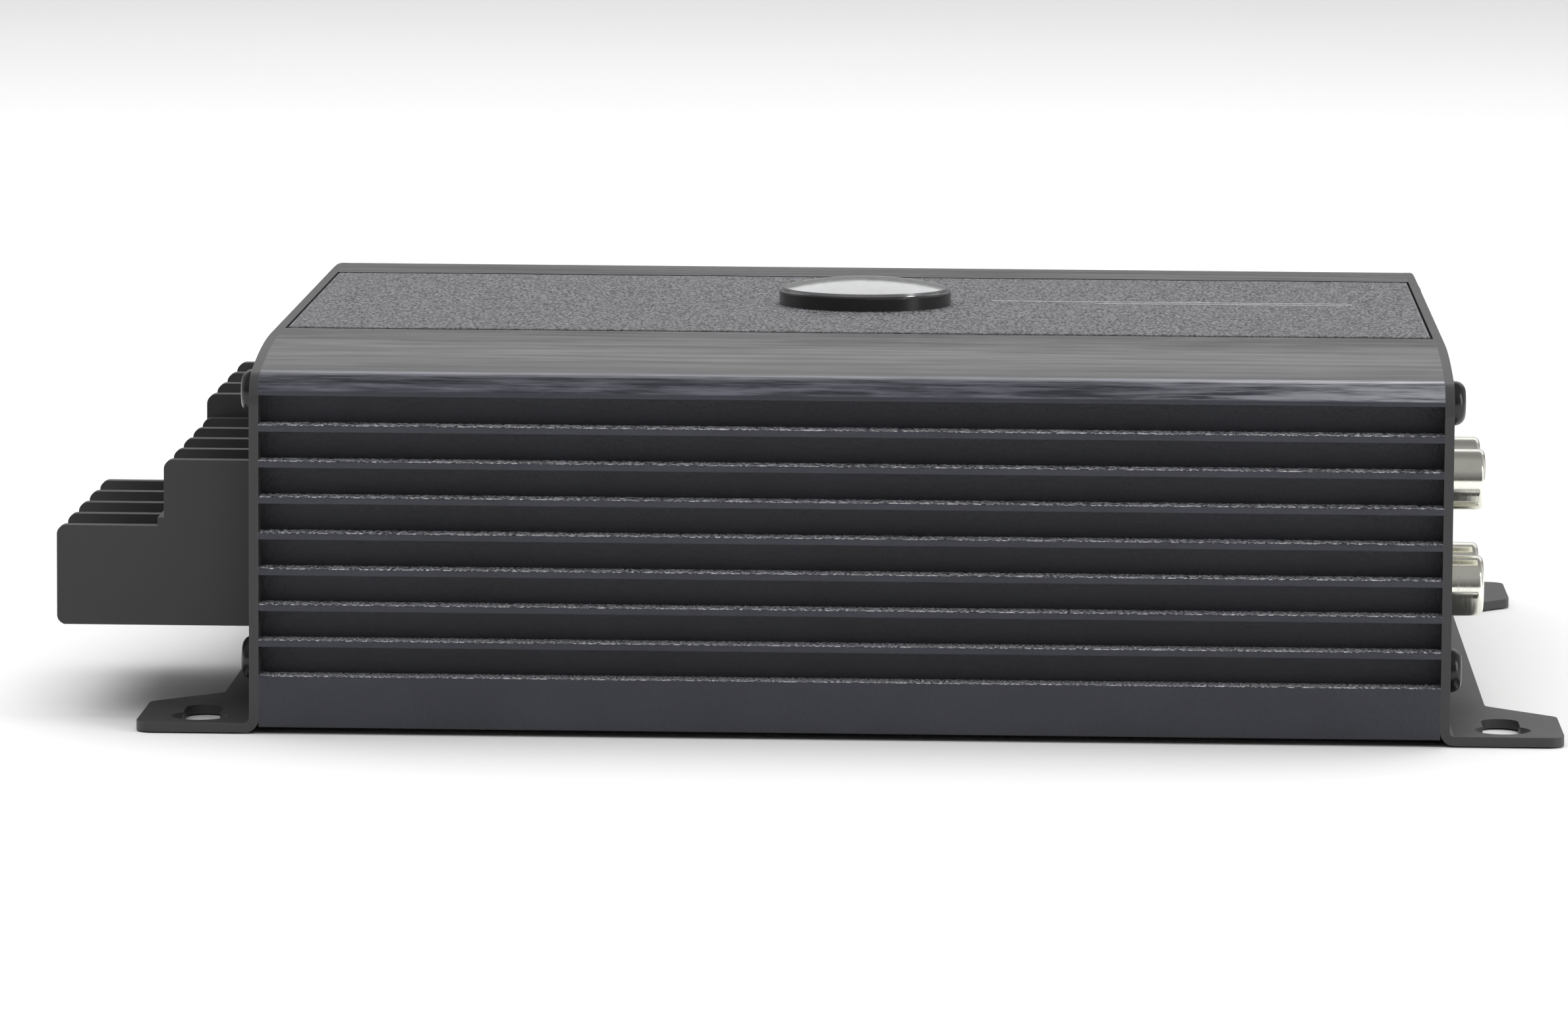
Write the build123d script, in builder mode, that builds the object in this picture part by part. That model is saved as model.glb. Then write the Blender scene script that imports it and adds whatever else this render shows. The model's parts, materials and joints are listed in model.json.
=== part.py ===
from build123d import *

import os
from math import asin, degrees

# Four-channel car amplifier. A finned aluminium extrusion with an inlaid top panel is closed by
# two folded steel end plates, whose bottom flanges carry the mounting ears.
#
# Units are millimetres. X runs along the extrusion: power and speaker terminals are at -X,
# signal jacks and controls at +X. Y runs across it, from one finned side to the other.
# Z is up, and Z = 0 is the surface that the mounting ears stand on.

# ---------------------------------------------------------------------------------------------
# Driving dimensions
# ---------------------------------------------------------------------------------------------

# Body extrusion
body_length = 150.0
body_depth = 153.0
body_base = 0.7
shoulder_top = 48.1
crown_radius = 150.0
crown_flat_half = 47.0
shoulder_radius = 4.0
fin_count = 8
fin_pitch = 4.586
fin_thickness = 0.9
fin_depth = 3.8
fin_edge_radius = 0.2
first_ledge_z = 7.31
wall_thickness = 3.2
wall_overlap = 1.0
ceiling_z = 43.5

# Screw channels that run the length of the extrusion
channel_y = 66.5
channel_low_z = 8.3
channel_high_z = 42.6
channel_boss_radius = 3.0

# Inner ledges for the circuit board and the bottom cover
ledge_inner_y = 56.5
ledge_bottom_z = 2.1
ledge_top_z = 4.6

# Top panel and badge
panel_width = 76.0
panel_thickness = 1.2
panel_proud = 0.08
panel_side_gap = 1.8
panel_end_gap = 0.3
panel_edge_chamfer = 0.12
badge_radius = 11.6
badge_base_height = 1.9
badge_edge_radius = 0.25
badge_cap_radius = 11.1
badge_cap_rim = 0.4
badge_cap_rise = 1.3

# Folded end plates
plate_thickness = 1.2
bend_inner_radius = 0.6
fold_height = 3.0
flange_reach = 82.0
flange_overlap = 2.0
ear_reach = 90.8
ear_edge_length = 18.5
ear_root_length = 27.5
ear_corner_radius = 2.2
keyhole_x = 83.2
keyhole_radius = 3.6
keyhole_inset = 6.2
keyhole_slot_inset = 13.7
keyhole_slot_width = 4.8

# Fasteners: clearance is radial
screw_clearance = 0.05
screw_end_gap = 0.1
through_cut = 4.0
plate_screw_radius = 1.45
plate_screw_length = 9.0
plate_screw_head_radius = 2.83
plate_screw_head_height = 1.8
plate_screw_hole_radius = 1.7

# Bottom cover
cover_half_width = 71.8
cover_bottom_z = 0.9
cover_thickness = 1.2
cover_end_gap = 0.4
cover_pocket_gap = 0.2
cover_corner_radius = 1.0
cover_slot_length = 26.0
cover_slot_width = 3.0
cover_slot_pitch = 12.0
cover_slot_columns = 8
cover_slot_row_spacing = 70.0
cover_screw_x = (-62.0, 0.0, 62.0)
cover_screw_y = 66.0
cover_screw_radius = 1.4
cover_screw_head_radius = 2.6
cover_screw_length = 3.5

# Speaker terminal block: two steps of screw terminals between upright dividers
speaker_near_y = -64.5
speaker_divider = 1.8
speaker_pitch = 12.1
speaker_columns = 4
speaker_bottom_z = 12.05
speaker_low_top_z = 24.9
speaker_high_top_z = 33.45
speaker_low_x = -102.1
speaker_high_x = -88.3
speaker_low_floor_z = 17.4
speaker_high_floor_z = 26.0
speaker_corner_radius = 1.2
speaker_wall_x = -76.6
speaker_hole_depth = 5.6
speaker_tail_shift = 2.4

# Power terminal block: one row of large screw terminals
power_near_y = -13.2
power_divider = 2.0
power_pitch = 13.6
power_columns = 3
power_bottom_z = 12.05
power_top_z = 36.4
power_front_x = -88.0
power_wall_x = -79.2
power_corner_radius = 1.3
power_hole_depth = 5.4
power_pad_margin = 3.0

# Both blocks reach through the plate and have a collar behind it
block_back_x = -72.5
collar_thickness = 1.7
collar_bottom_z = 11.4
collar_rise = 1.6
window_clearance = 0.25
divider_rise = 0.4
step_inset = 0.8

# Terminal metalwork
contact_thickness = 0.8
contact_tail_width = 3.0
contact_tail_x = -74.4
speaker_pad_width = 8.8
speaker_washer_size = 8.0
speaker_screw_radius = 1.75
speaker_screw_head_radius = 3.4
speaker_screw_head_height = 2.2
speaker_screw_length = 5.2
power_pad_width = 10.4
power_washer_size = 10.0
power_screw_radius = 2.4
power_screw_head_radius = 4.3
power_screw_head_height = 2.7
power_screw_length = 6.6
washer_thickness = 0.8

# Blade fuses and their holder
fuse_y = (39.0, 52.0)
fuse_z = 24.2
fuse_body_width = 18.6
fuse_body_thickness = 3.9
fuse_grip_thickness = 5.2
fuse_grip_height = 3.4
fuse_tip_x = -86.0
fuse_seat_x = -74.0
fuse_blade_spacing = 12.9
fuse_blade_width = 5.2
fuse_blade_thickness = 0.65
fuse_blade_length = 7.4
fuse_holder_y = (32.0, 59.0)
fuse_holder_z = (12.6, 35.8)
fuse_holder_front_x = -77.6
fuse_fit = 0.15
fuse_grip_overhang = 0.4
fuse_window_size = (1.2, 1.8, 3.0)
fuse_collar_margin = 1.5
fuse_collar_lower_margin = 1.0
fuse_holder_fillet = 1.0
clip_thickness = 2.4
clip_side_margin = 0.3
clip_end_margin = 1.0
clip_blade_gap = 0.05
clip_leg_step = 2.0

# Phono jacks
jack_y = (-31.5, -17.5)
jack_z = (14.7, 28.8)
jack_shell_radius = 4.0
jack_shell_wall = 0.65
jack_tip_x = 82.4
jack_shell_start_x = 67.0
jack_lip_length = 1.2
jack_lip_wall = 0.95
jack_tip_fillet = 0.85
jack_insulator_length = 12.4
jack_contact_radius = 1.9
jack_contact_bore = 1.6
jack_body_back_x = 60.0
jack_hole_radius = 4.2
jack_contact_recess = 0.4
jack_contact_floor = 2.0
jack_block_margin = 7.0
jack_block_fillet = 0.8
plate_gap = 0.2

# High-level input socket
socket_y = -52.0
socket_z = 20.0
socket_width = 17.0
socket_height = 12.6
socket_wall = 1.3
socket_depth = 9.0
socket_back_x = 61.0
socket_pin_pitch = 3.2
socket_row_pitch = 4.2
socket_pin_size = 0.8
socket_pin_recess = 2.4
socket_rim = 1.2

# Circuit boards
board_thickness = 1.6
board_half_length = 74.6
board_half_width = 62.8
board_screw_x = (-60.0, 0.0, 55.0)
board_screw_y = 59.5
board_screw_length = 3.9
board_hole_clearance = 0.15
control_board_x = 66.0
control_board_y = (-8.5, 62.0)
control_board_height = 31.0

# Controls behind the signal plate
control_low_z = 14.7
control_high_z = 28.8
gain_y = 14.0
crossover_y = 30.0
filter_switch_y = 48.0
level_switch_y = -1.0
pot_width = 10.0
pot_height = 11.0
pot_depth = 5.8
knob_radius = 3.9
knob_hole_radius = 4.3
knob_back_x = 74.2
knob_face_x = 77.6
knob_shaft_radius = 2.0
knob_shaft_depth = 5.0
knob_clearance = 0.05
knob_flutes = 18
knob_flute_radius = 0.32
knob_slot_length = 5.8
knob_slot_width = 1.0
knob_slot_depth = 0.9
switch_width = 13.0
switch_height = 7.0
switch_depth = 5.8
lever_width = 2.6
lever_height = 3.0
lever_tip_x = 77.4
lever_foot_depth = 4.0
lever_gap = 0.15
lever_window_margin_y = 1.0
lever_window_margin_z = 0.8
lever_ridge_spacing = 1.3
lever_ridge_width = 0.4
lever_ridge_depth = 0.4
floor_gap = 0.2
filter_switch_travel = 2.0
level_switch_travel = 3.0
led_radius = 1.5
led_tip_x = 77.2
led_clearance = 0.15
led_flange = 0.3
led_flange_height = 1.0
led_spacer_length = 4.0
led_spacer_rim = 0.8
connector_y = (8.0, 46.0)
connector_size = 5.0
connector_fillet = 0.4

# Power devices clamped to both side walls
device_x = (-45.0, -27.0, -9.0, 9.0, 27.0, 45.0)
device_width = 10.0
device_body_height = 9.0
device_tab_height = 6.3
device_tab_thickness = 1.3
device_thickness = 4.4
device_bottom_z = 15.5
device_lead_pitch = 2.54
device_lead_size = 0.7
device_lead_foot_y = 57.6
device_lead_bend_z = 12.6
device_lead_depth = 2.4
device_tab_hole_radius = 1.8
device_tab_hole_rise = 3.4
pad_thickness = 0.3
pad_hole_clearance = 0.3
strip_overhang = 8.0
strip_margin = 1.5
clamp_screw_x = (-36.0, 0.0, 36.0)
clamp_bar_thickness = 2.5
clamp_bar_height = 7.0
clamp_screw_radius = 1.45
clamp_screw_length = 9.2
clamp_hole_depth = 2.6
clamp_bar_fillet = 0.5

# Parts on the main board
toroid_center = (-24.0, 5.0)
toroid_radius = 13.0
toroid_section_width = 8.0
toroid_section_height = 12.0
toroid_turns = 22
toroid_lift = 2.0
toroid_corner_radius = 1.5
winding_gap = 0.1
winding_corner_radius = 2.2
winding_edge_radius = 0.4
winding_wire_radius = 0.7
capacitor_x = (12.0, 28.0, 44.0)
capacitor_y = 30.0
capacitor_radius = 6.5
capacitor_height = 25.0
capacitor_edge_radius = 0.8
capacitor_vent_width = 0.5
capacitor_vent_depth = 0.6
choke_center = (-54.0, -22.0)
choke_core_radius = 5.0
choke_height = 22.0
choke_turns = 8
choke_wire_radius = 1.0
choke_wire_gap = 0.05
choke_turn_gap = 0.04
choke_foot_overhang = 3.5
choke_foot_height = 1.5
choke_edge_radius = 0.6
choke_winding_start = 3.0
chip_x = (20.0, 36.0, 52.0)
chip_y = (-6.0, 8.0)
chip_size = (9.6, 6.4, 3.4)
chip_fillet = 0.3

# ---------------------------------------------------------------------------------------------
# Values worked out from the driving dimensions
# ---------------------------------------------------------------------------------------------

half_length = body_length / 2
half_depth = body_depth / 2
plate_face_x = half_length + plate_thickness
inner_wall_y = half_depth - fin_depth - wall_thickness
panel_bottom_z = shoulder_top + panel_proud - panel_thickness
panel_top_z = panel_bottom_z + panel_thickness
board_top_z = ledge_top_z + board_thickness
speaker_far_y = speaker_near_y + speaker_columns * speaker_pitch + speaker_divider
power_far_y = power_near_y + power_columns * power_pitch + power_divider
control_front_x = control_board_x + board_thickness
capacitor_spots = [(x, side * capacitor_y) for x in capacitor_x for side in (-1, 1)]
chip_spots = [(x, y) for x in chip_x for y in chip_y]
device_face_y = inner_wall_y - pad_thickness
clamp_bar_z = device_bottom_z + device_body_height / 2
plate_screw_spots = [(y, z) for y in (-channel_y, channel_y) for z in (channel_low_z, channel_high_z)]
jack_spots = [(y, z) for y in jack_y for z in jack_z]
rotary_spots = [(y, z) for y in (gain_y, crossover_y) for z in (control_low_z, control_high_z)]


# ---------------------------------------------------------------------------------------------
# Shared shapes
# ---------------------------------------------------------------------------------------------


def y_plane(y):
    """The XZ plane through Y = y, with X to the right and Z up."""
    return Plane.XZ.offset(-y)


def facing_x(x, y, z, side=1):
    """A place whose local Z points outward along X: side is 1 for +X and -1 for -X."""
    return Location((x, y, z), (0, 90 * side, 0))


def block(x_range, y_range, z_range, mode=Mode.ADD):
    """A plain block between the given limits, in the open part."""
    center = [(low + high) / 2 for low, high in (x_range, y_range, z_range)]
    size = [abs(high - low) for low, high in (x_range, y_range, z_range)]
    with Locations(tuple(center)):
        Box(*size, mode=mode)


def body_outline(bottom):
    """The outline of the body's end, from bottom up to the crown."""
    crown_angle = degrees(asin((half_depth - crown_flat_half) / crown_radius))
    with BuildSketch() as outline:
        with BuildLine():
            crown = JernArc((crown_flat_half, shoulder_top), (1, 0), crown_radius, -crown_angle)
            Line((0, shoulder_top), crown @ 0)
            Polyline(crown @ 1, (half_depth, bottom), (0, bottom))
            mirror(about=Plane.YZ)
        make_face()
        corners = outline.vertices().filter_by(lambda v: abs(v.X) > half_depth - 1)
        fillet(corners.group_by(Axis.Y)[-1], radius=shoulder_radius)
    return outline.sketch


def pan_head_screw(head_radius, head_height, shank_radius, shank_length):
    """A cross-recessed pan-head screw: its seat is at Z = 0 and its shank points down."""
    recess_width = head_radius * 0.28
    recess_span = head_radius * 1.2
    with BuildPart() as screw:
        with BuildSketch(Plane.XZ):
            with BuildLine():
                rim = Polyline((0, 0), (head_radius, 0), (head_radius, head_height * 0.3))
                crown = ThreePointArc(
                    rim @ 1, (head_radius * 0.86, head_height * 0.78), (head_radius * 0.45, head_height)
                )
                Polyline(crown @ 1, (0, head_height), (0, 0))
            make_face()
        revolve(axis=Axis.Z)
        Cylinder(shank_radius, shank_length, align=(Align.CENTER, Align.CENTER, Align.MAX))
        with BuildSketch(Plane.XY.offset(head_height)):
            Rectangle(recess_span, recess_width)
            Rectangle(recess_width, recess_span)
        extrude(amount=-head_height * 0.6, mode=Mode.SUBTRACT)
    return screw.part


def countersunk_screw(head_radius, head_height, shank_radius, length):
    """A flat-head screw: its flat face is at Z = 0, looking down, and its shank points up."""
    with BuildPart() as screw:
        with BuildSketch(Plane.XZ):
            with BuildLine():
                Polyline(
                    (0, 0),
                    (head_radius, 0),
                    (shank_radius, head_height),
                    (shank_radius, length),
                    (0, length),
                    close=True,
                )
            make_face()
        revolve(axis=Axis.Z)
        with BuildSketch(Plane.XY):
            Rectangle(head_radius * 1.1, head_radius * 0.26)
            Rectangle(head_radius * 0.26, head_radius * 1.1)
        extrude(amount=head_height * 0.6, mode=Mode.SUBTRACT)
    return screw.part


# ---------------------------------------------------------------------------------------------
# Body
# ---------------------------------------------------------------------------------------------

housing_outline = body_outline(body_base)

with BuildPart() as heatsink_housing:
    with BuildSketch(Plane.YZ.offset(-half_length)) as profile:
        add(housing_outline)
        # Grooves between the fins, on both sides
        groove_height = fin_pitch - fin_thickness
        groove_middle_z = first_ledge_z + (fin_count - 1) * fin_pitch / 2 + groove_height / 2
        with Locations((0, groove_middle_z)):
            with GridLocations(2 * half_depth, fin_pitch, 2, fin_count):
                Rectangle(2 * fin_depth, groove_height, mode=Mode.SUBTRACT)
        fin_tips = profile.vertices().filter_by(lambda v: abs(v.X) > half_depth - 0.5)
        fillet(fin_tips, radius=fin_edge_radius)
        # Hollow inside, and the pocket that the bottom cover lies in
        with Locations((0, (body_base + ceiling_z) / 2)):
            Rectangle(2 * inner_wall_y, ceiling_z - body_base, mode=Mode.SUBTRACT)
        with Locations((0, ledge_bottom_z)):
            Rectangle(
                2 * (cover_half_width + cover_pocket_gap),
                2 * (ledge_bottom_z - body_base),
                align=(Align.CENTER, Align.MAX),
                mode=Mode.SUBTRACT,
            )
        # Ledges for the board, and the lengthways screw channels
        ledge_width = inner_wall_y + wall_overlap - ledge_inner_y
        with Locations((0, (ledge_bottom_z + ledge_top_z) / 2)):
            with GridLocations(2 * ledge_inner_y + ledge_width, 0, 2, 1):
                Rectangle(ledge_width, ledge_top_z - ledge_bottom_z)
        with Locations(*plate_screw_spots):
            Circle(channel_boss_radius)
        # A rib joins each channel to the side wall
        for y, z in plate_screw_spots:
            rib_middle_y = (channel_y + inner_wall_y + wall_overlap) / 2
            with Locations((rib_middle_y * (1 if y > 0 else -1), z)):
                Rectangle(inner_wall_y + wall_overlap - channel_y, 2 * channel_boss_radius)
        with Locations(*plate_screw_spots):
            Circle(plate_screw_radius + screw_clearance, mode=Mode.SUBTRACT)
        # Recess for the top panel, which leaves an open groove along each side of it
        with Locations((0, panel_bottom_z)):
            Rectangle(
                panel_width + 2 * panel_side_gap,
                panel_thickness,
                align=(Align.CENTER, Align.MIN),
                mode=Mode.SUBTRACT,
            )
    extrude(amount=body_length)
    # Blind holes for the clamp bar screws, the cover screws and the board screws
    for side in (-1, 1):
        for x in clamp_screw_x:
            with Locations(Location((x, side * inner_wall_y, clamp_bar_z), (-90 * side, 0, 0))):
                Cylinder(
                    clamp_screw_radius + screw_clearance,
                    clamp_hole_depth,
                    align=(Align.CENTER, Align.CENTER, Align.MIN),
                    mode=Mode.SUBTRACT,
                )
        for x in cover_screw_x:
            with Locations((x, side * cover_screw_y, ledge_bottom_z)):
                Cylinder(
                    cover_screw_radius + screw_clearance,
                    cover_screw_length - cover_thickness + screw_end_gap,
                    align=(Align.CENTER, Align.CENTER, Align.MIN),
                    mode=Mode.SUBTRACT,
                )
        for x in board_screw_x:
            with Locations((x, side * board_screw_y, ledge_top_z)):
                Cylinder(
                    plate_screw_radius + screw_clearance,
                    ledge_top_z - ledge_bottom_z,
                    align=(Align.CENTER, Align.CENTER, Align.MAX),
                    mode=Mode.SUBTRACT,
                )

with BuildPart() as top_panel:
    with BuildSketch(Plane.XY.offset(panel_bottom_z)):
        Rectangle(body_length - 2 * panel_end_gap, panel_width)
    extrude(amount=panel_thickness)
    chamfer(top_panel.edges().group_by(Axis.Z)[-1], length=panel_edge_chamfer)

with BuildPart() as badge_base:
    with BuildSketch(Plane.XY.offset(panel_top_z)):
        Circle(badge_radius)
    extrude(amount=badge_base_height)
    fillet(badge_base.edges().group_by(Axis.Z)[-1], radius=badge_edge_radius)

# The cap is a short cylinder cut off by a large sphere, which leaves a shallow dome
badge_dome_radius = (badge_cap_radius**2 + badge_cap_rise**2) / (2 * badge_cap_rise)
badge_cap_bottom_z = panel_top_z + badge_base_height
badge_cap_height = badge_cap_rim + badge_cap_rise

with BuildPart() as badge_cap:
    with Locations((0, 0, badge_cap_bottom_z)):
        Cylinder(badge_cap_radius, badge_cap_height, align=(Align.CENTER, Align.CENTER, Align.MIN))
    with Locations((0, 0, badge_cap_bottom_z + badge_cap_height - badge_dome_radius)):
        Sphere(badge_dome_radius, mode=Mode.INTERSECT)


# ---------------------------------------------------------------------------------------------
# End plates and bottom cover
# ---------------------------------------------------------------------------------------------


def plate_blank(side):
    """One folded end plate with its flange, ears and keyholes, for the end at +X or -X."""
    face_outline = body_outline(fold_height)
    keyhole_middle = (keyhole_inset + keyhole_slot_inset) / 2
    with BuildPart() as blank:
        with BuildSketch(Plane.YZ.offset(side * half_length)):
            add(face_outline)
        extrude(amount=side * plate_thickness)
        with BuildSketch(Plane.XZ) as fold:
            with BuildLine():
                Polyline(
                    (side * half_length, fold_height),
                    (side * half_length, 0),
                    (side * flange_reach, 0),
                    (side * flange_reach, plate_thickness),
                    (side * plate_face_x, plate_thickness),
                    (side * plate_face_x, fold_height),
                    close=True,
                )
            make_face()
            heel = fold.vertices().sort_by_distance((side * half_length, 0))[0]
            fillet(heel, radius=bend_inner_radius + plate_thickness)
            crease = fold.vertices().sort_by_distance((side * plate_face_x, plate_thickness))[0]
            fillet(crease, radius=bend_inner_radius)
        extrude(amount=half_depth, both=True)
        with BuildSketch(Plane.XY) as ears:
            with BuildLine():
                Polyline(
                    (side * (flange_reach - flange_overlap), 0),
                    (side * flange_reach, 0),
                    (side * flange_reach, half_depth - ear_root_length),
                    (side * ear_reach, half_depth - ear_edge_length),
                    (side * ear_reach, half_depth),
                    (side * (flange_reach - flange_overlap), half_depth),
                    close=True,
                )
            make_face()
            fillet(
                ears.vertices().filter_by(lambda v: abs(v.X) > ear_reach - 1),
                radius=ear_corner_radius,
            )
            root = ears.vertices().sort_by_distance(
                (side * flange_reach, half_depth - ear_root_length)
            )[0]
            fillet(root, radius=ear_corner_radius)
            mirror(about=Plane.XZ)
        extrude(amount=plate_thickness)
        with BuildSketch(Plane.XY):
            with Locations((side * keyhole_x, half_depth - keyhole_inset)):
                Circle(keyhole_radius)
            with Locations((side * keyhole_x, half_depth - keyhole_middle)):
                SlotCenterToCenter(
                    keyhole_slot_inset - keyhole_inset, keyhole_slot_width, rotation=90
                )
            mirror(about=Plane.XZ)
        extrude(amount=plate_thickness, mode=Mode.SUBTRACT)
        with BuildSketch(Plane.YZ.offset(side * half_length)):
            with Locations(*plate_screw_spots):
                Circle(plate_screw_hole_radius)
        extrude(amount=side * plate_thickness, mode=Mode.SUBTRACT)
    return blank.part


def cut_window(side, y_range, z_range):
    """Cuts a rectangular window, a little larger than the given limits, through a plate."""
    block(
        (side * (half_length - 1), side * (plate_face_x + 1)),
        (y_range[0] - window_clearance, y_range[1] + window_clearance),
        (z_range[0] - window_clearance, z_range[1] + window_clearance),
        mode=Mode.SUBTRACT,
    )


power_plate_blank = plate_blank(-1)
signal_plate_blank = plate_blank(1)

with BuildPart() as power_end_plate:
    add(power_plate_blank)
    cut_window(-1, (speaker_near_y, speaker_far_y), (speaker_bottom_z, speaker_high_top_z))
    cut_window(-1, (power_near_y, power_far_y), (power_bottom_z, power_top_z))
    cut_window(-1, fuse_holder_y, fuse_holder_z)

with BuildPart() as signal_end_plate:
    add(signal_plate_blank)
    cut_window(
        1,
        (socket_y - socket_width / 2, socket_y + socket_width / 2),
        (socket_z - socket_height / 2, socket_z + socket_height / 2),
    )
    with BuildSketch(Plane.YZ.offset(half_length)):
        with Locations(*jack_spots):
            Circle(jack_hole_radius)
        with Locations(*rotary_spots):
            Circle(knob_hole_radius)
        with Locations((level_switch_y, control_low_z)):
            Circle(led_radius + led_clearance)
        with Locations((filter_switch_y, control_low_z), (filter_switch_y, control_high_z)):
            Rectangle(
                lever_width + 2 * filter_switch_travel + lever_window_margin_y,
                lever_height + lever_window_margin_z,
            )
        with Locations((level_switch_y + level_switch_travel / 2, control_high_z)):
            Rectangle(
                lever_width + level_switch_travel + lever_window_margin_y,
                lever_height + lever_window_margin_z,
            )
    extrude(amount=plate_thickness, mode=Mode.SUBTRACT)

plate_screw = pan_head_screw(
    plate_screw_head_radius, plate_screw_head_height, plate_screw_radius, plate_screw_length
)

with BuildPart() as power_plate_screws:
    with Locations(*[facing_x(-plate_face_x, y, z, -1) for y, z in plate_screw_spots]):
        add(plate_screw)

with BuildPart() as signal_plate_screws:
    with Locations(*[facing_x(plate_face_x, y, z) for y, z in plate_screw_spots]):
        add(plate_screw)

cover_screw_spots = [(x, side * cover_screw_y) for x in cover_screw_x for side in (-1, 1)]
cover_screw = countersunk_screw(
    cover_screw_head_radius, cover_thickness, cover_screw_radius, cover_screw_length
)

with BuildPart() as bottom_cover:
    with BuildSketch(Plane.XY.offset(cover_bottom_z)):
        RectangleRounded(body_length - 2 * cover_end_gap, 2 * cover_half_width, cover_corner_radius)
        # Two rows of cooling slots
        with GridLocations(cover_slot_pitch, cover_slot_row_spacing, cover_slot_columns, 2):
            SlotOverall(cover_slot_length, cover_slot_width, rotation=90, mode=Mode.SUBTRACT)
    extrude(amount=cover_thickness)
    for x, y in cover_screw_spots:
        with BuildSketch(Plane.XY.offset(cover_bottom_z)):
            with Locations((x, y)):
                Circle(cover_screw_head_radius + screw_clearance)
        with BuildSketch(Plane.XY.offset(cover_bottom_z + cover_thickness)):
            with Locations((x, y)):
                Circle(cover_screw_radius + screw_clearance)
        loft(mode=Mode.SUBTRACT)

with BuildPart() as bottom_cover_screws:
    with Locations(*[(x, y, cover_bottom_z) for x, y in cover_screw_spots]):
        add(cover_screw)

# ---------------------------------------------------------------------------------------------
# Speaker terminals
# ---------------------------------------------------------------------------------------------

speaker_columns_y = [
    speaker_near_y + speaker_divider / 2 + speaker_pitch * (i + 0.5) for i in range(speaker_columns)
]
# For each step: the pad's outer and inner X, its underside Z, and its tail's shift along Y
speaker_steps = (
    (speaker_low_x + 1.6, speaker_high_x - 1.2, speaker_low_floor_z, speaker_tail_shift),
    (speaker_high_x + 1.0, speaker_wall_x, speaker_high_floor_z, -speaker_tail_shift),
)

with BuildPart() as speaker_terminal_contacts:
    for column_y in speaker_columns_y:
        for outer_x, inner_x, floor_z, shift in speaker_steps:
            tail_y = column_y + shift
            pad_y = (column_y - speaker_pad_width / 2, column_y + speaker_pad_width / 2)
            tail_span = (tail_y - contact_tail_width / 2, tail_y + contact_tail_width / 2)
            pad_z = (floor_z, floor_z + contact_thickness)
            block((outer_x, inner_x), pad_y, pad_z)
            block((inner_x, contact_tail_x + contact_thickness), tail_span, pad_z)
            block(
                (contact_tail_x, contact_tail_x + contact_thickness),
                tail_span,
                (ledge_top_z, floor_z + contact_thickness),
            )
            with Locations(((outer_x + inner_x) / 2, column_y, floor_z)):
                Cylinder(speaker_screw_radius + screw_clearance, through_cut, mode=Mode.SUBTRACT)

speaker_washer_spots = [
    ((outer_x + inner_x) / 2, column_y, floor_z + contact_thickness)
    for column_y in speaker_columns_y
    for outer_x, inner_x, floor_z, _ in speaker_steps
]

with BuildPart() as speaker_clamp_washers:
    with Locations(*speaker_washer_spots):
        Box(
            speaker_washer_size,
            speaker_washer_size,
            washer_thickness,
            align=(Align.CENTER, Align.CENTER, Align.MIN),
        )
        Cylinder(speaker_screw_radius + screw_clearance, through_cut, mode=Mode.SUBTRACT)

speaker_screw = pan_head_screw(
    speaker_screw_head_radius, speaker_screw_head_height, speaker_screw_radius, speaker_screw_length
)

with BuildPart() as speaker_terminal_screws:
    with Locations(*[(x, y, z + washer_thickness) for x, y, z in speaker_washer_spots]):
        add(speaker_screw)

with BuildPart() as speaker_terminal_block:
    # The stepped body under the terminals
    with BuildSketch(y_plane((speaker_near_y + speaker_far_y) / 2)):
        with BuildLine():
            Polyline(
                (block_back_x, speaker_bottom_z),
                (speaker_low_x + step_inset, speaker_bottom_z),
                (speaker_low_x + step_inset, speaker_low_floor_z),
                (speaker_high_x - step_inset, speaker_low_floor_z),
                (speaker_high_x - step_inset, speaker_high_floor_z),
                (speaker_wall_x, speaker_high_floor_z),
                (speaker_wall_x, speaker_high_top_z - divider_rise),
                (block_back_x, speaker_high_top_z - divider_rise),
                close=True,
            )
        make_face()
    extrude(amount=(speaker_far_y - speaker_near_y) / 2, both=True)
    # Upright dividers with rounded outer corners
    for i in range(speaker_columns + 1):
        with BuildSketch(y_plane(speaker_near_y + speaker_divider / 2 + i * speaker_pitch)) as divider:
            with BuildLine():
                Polyline(
                    (block_back_x, speaker_bottom_z),
                    (speaker_low_x, speaker_bottom_z),
                    (speaker_low_x, speaker_low_top_z),
                    (speaker_high_x, speaker_low_top_z),
                    (speaker_high_x, speaker_high_top_z),
                    (block_back_x, speaker_high_top_z),
                    close=True,
                )
            make_face()
            for corner in (
                (speaker_low_x, speaker_low_top_z),
                (speaker_high_x, speaker_high_top_z),
                (speaker_low_x, speaker_bottom_z),
            ):
                fillet(divider.vertices().sort_by_distance(corner)[0], radius=speaker_corner_radius)
        extrude(amount=speaker_divider / 2, both=True)
    # Collar behind the plate
    block(
        (-half_length, -half_length + collar_thickness),
        (speaker_near_y, speaker_far_y),
        (collar_bottom_z, speaker_high_top_z + collar_rise),
    )
    add(speaker_terminal_contacts.part, mode=Mode.SUBTRACT)
    with Locations(*speaker_washer_spots):
        Cylinder(
            speaker_screw_radius + screw_clearance,
            speaker_hole_depth,
            align=(Align.CENTER, Align.CENTER, Align.MAX),
            mode=Mode.SUBTRACT,
        )

# ---------------------------------------------------------------------------------------------
# Power terminals
# ---------------------------------------------------------------------------------------------

power_columns_y = [power_near_y + power_divider / 2 + power_pitch * (i + 0.5) for i in range(power_columns)]
power_terminal_z = (power_bottom_z + power_top_z) / 2
power_pad_z = (power_bottom_z + power_pad_margin, power_top_z - power_pad_margin)

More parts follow.
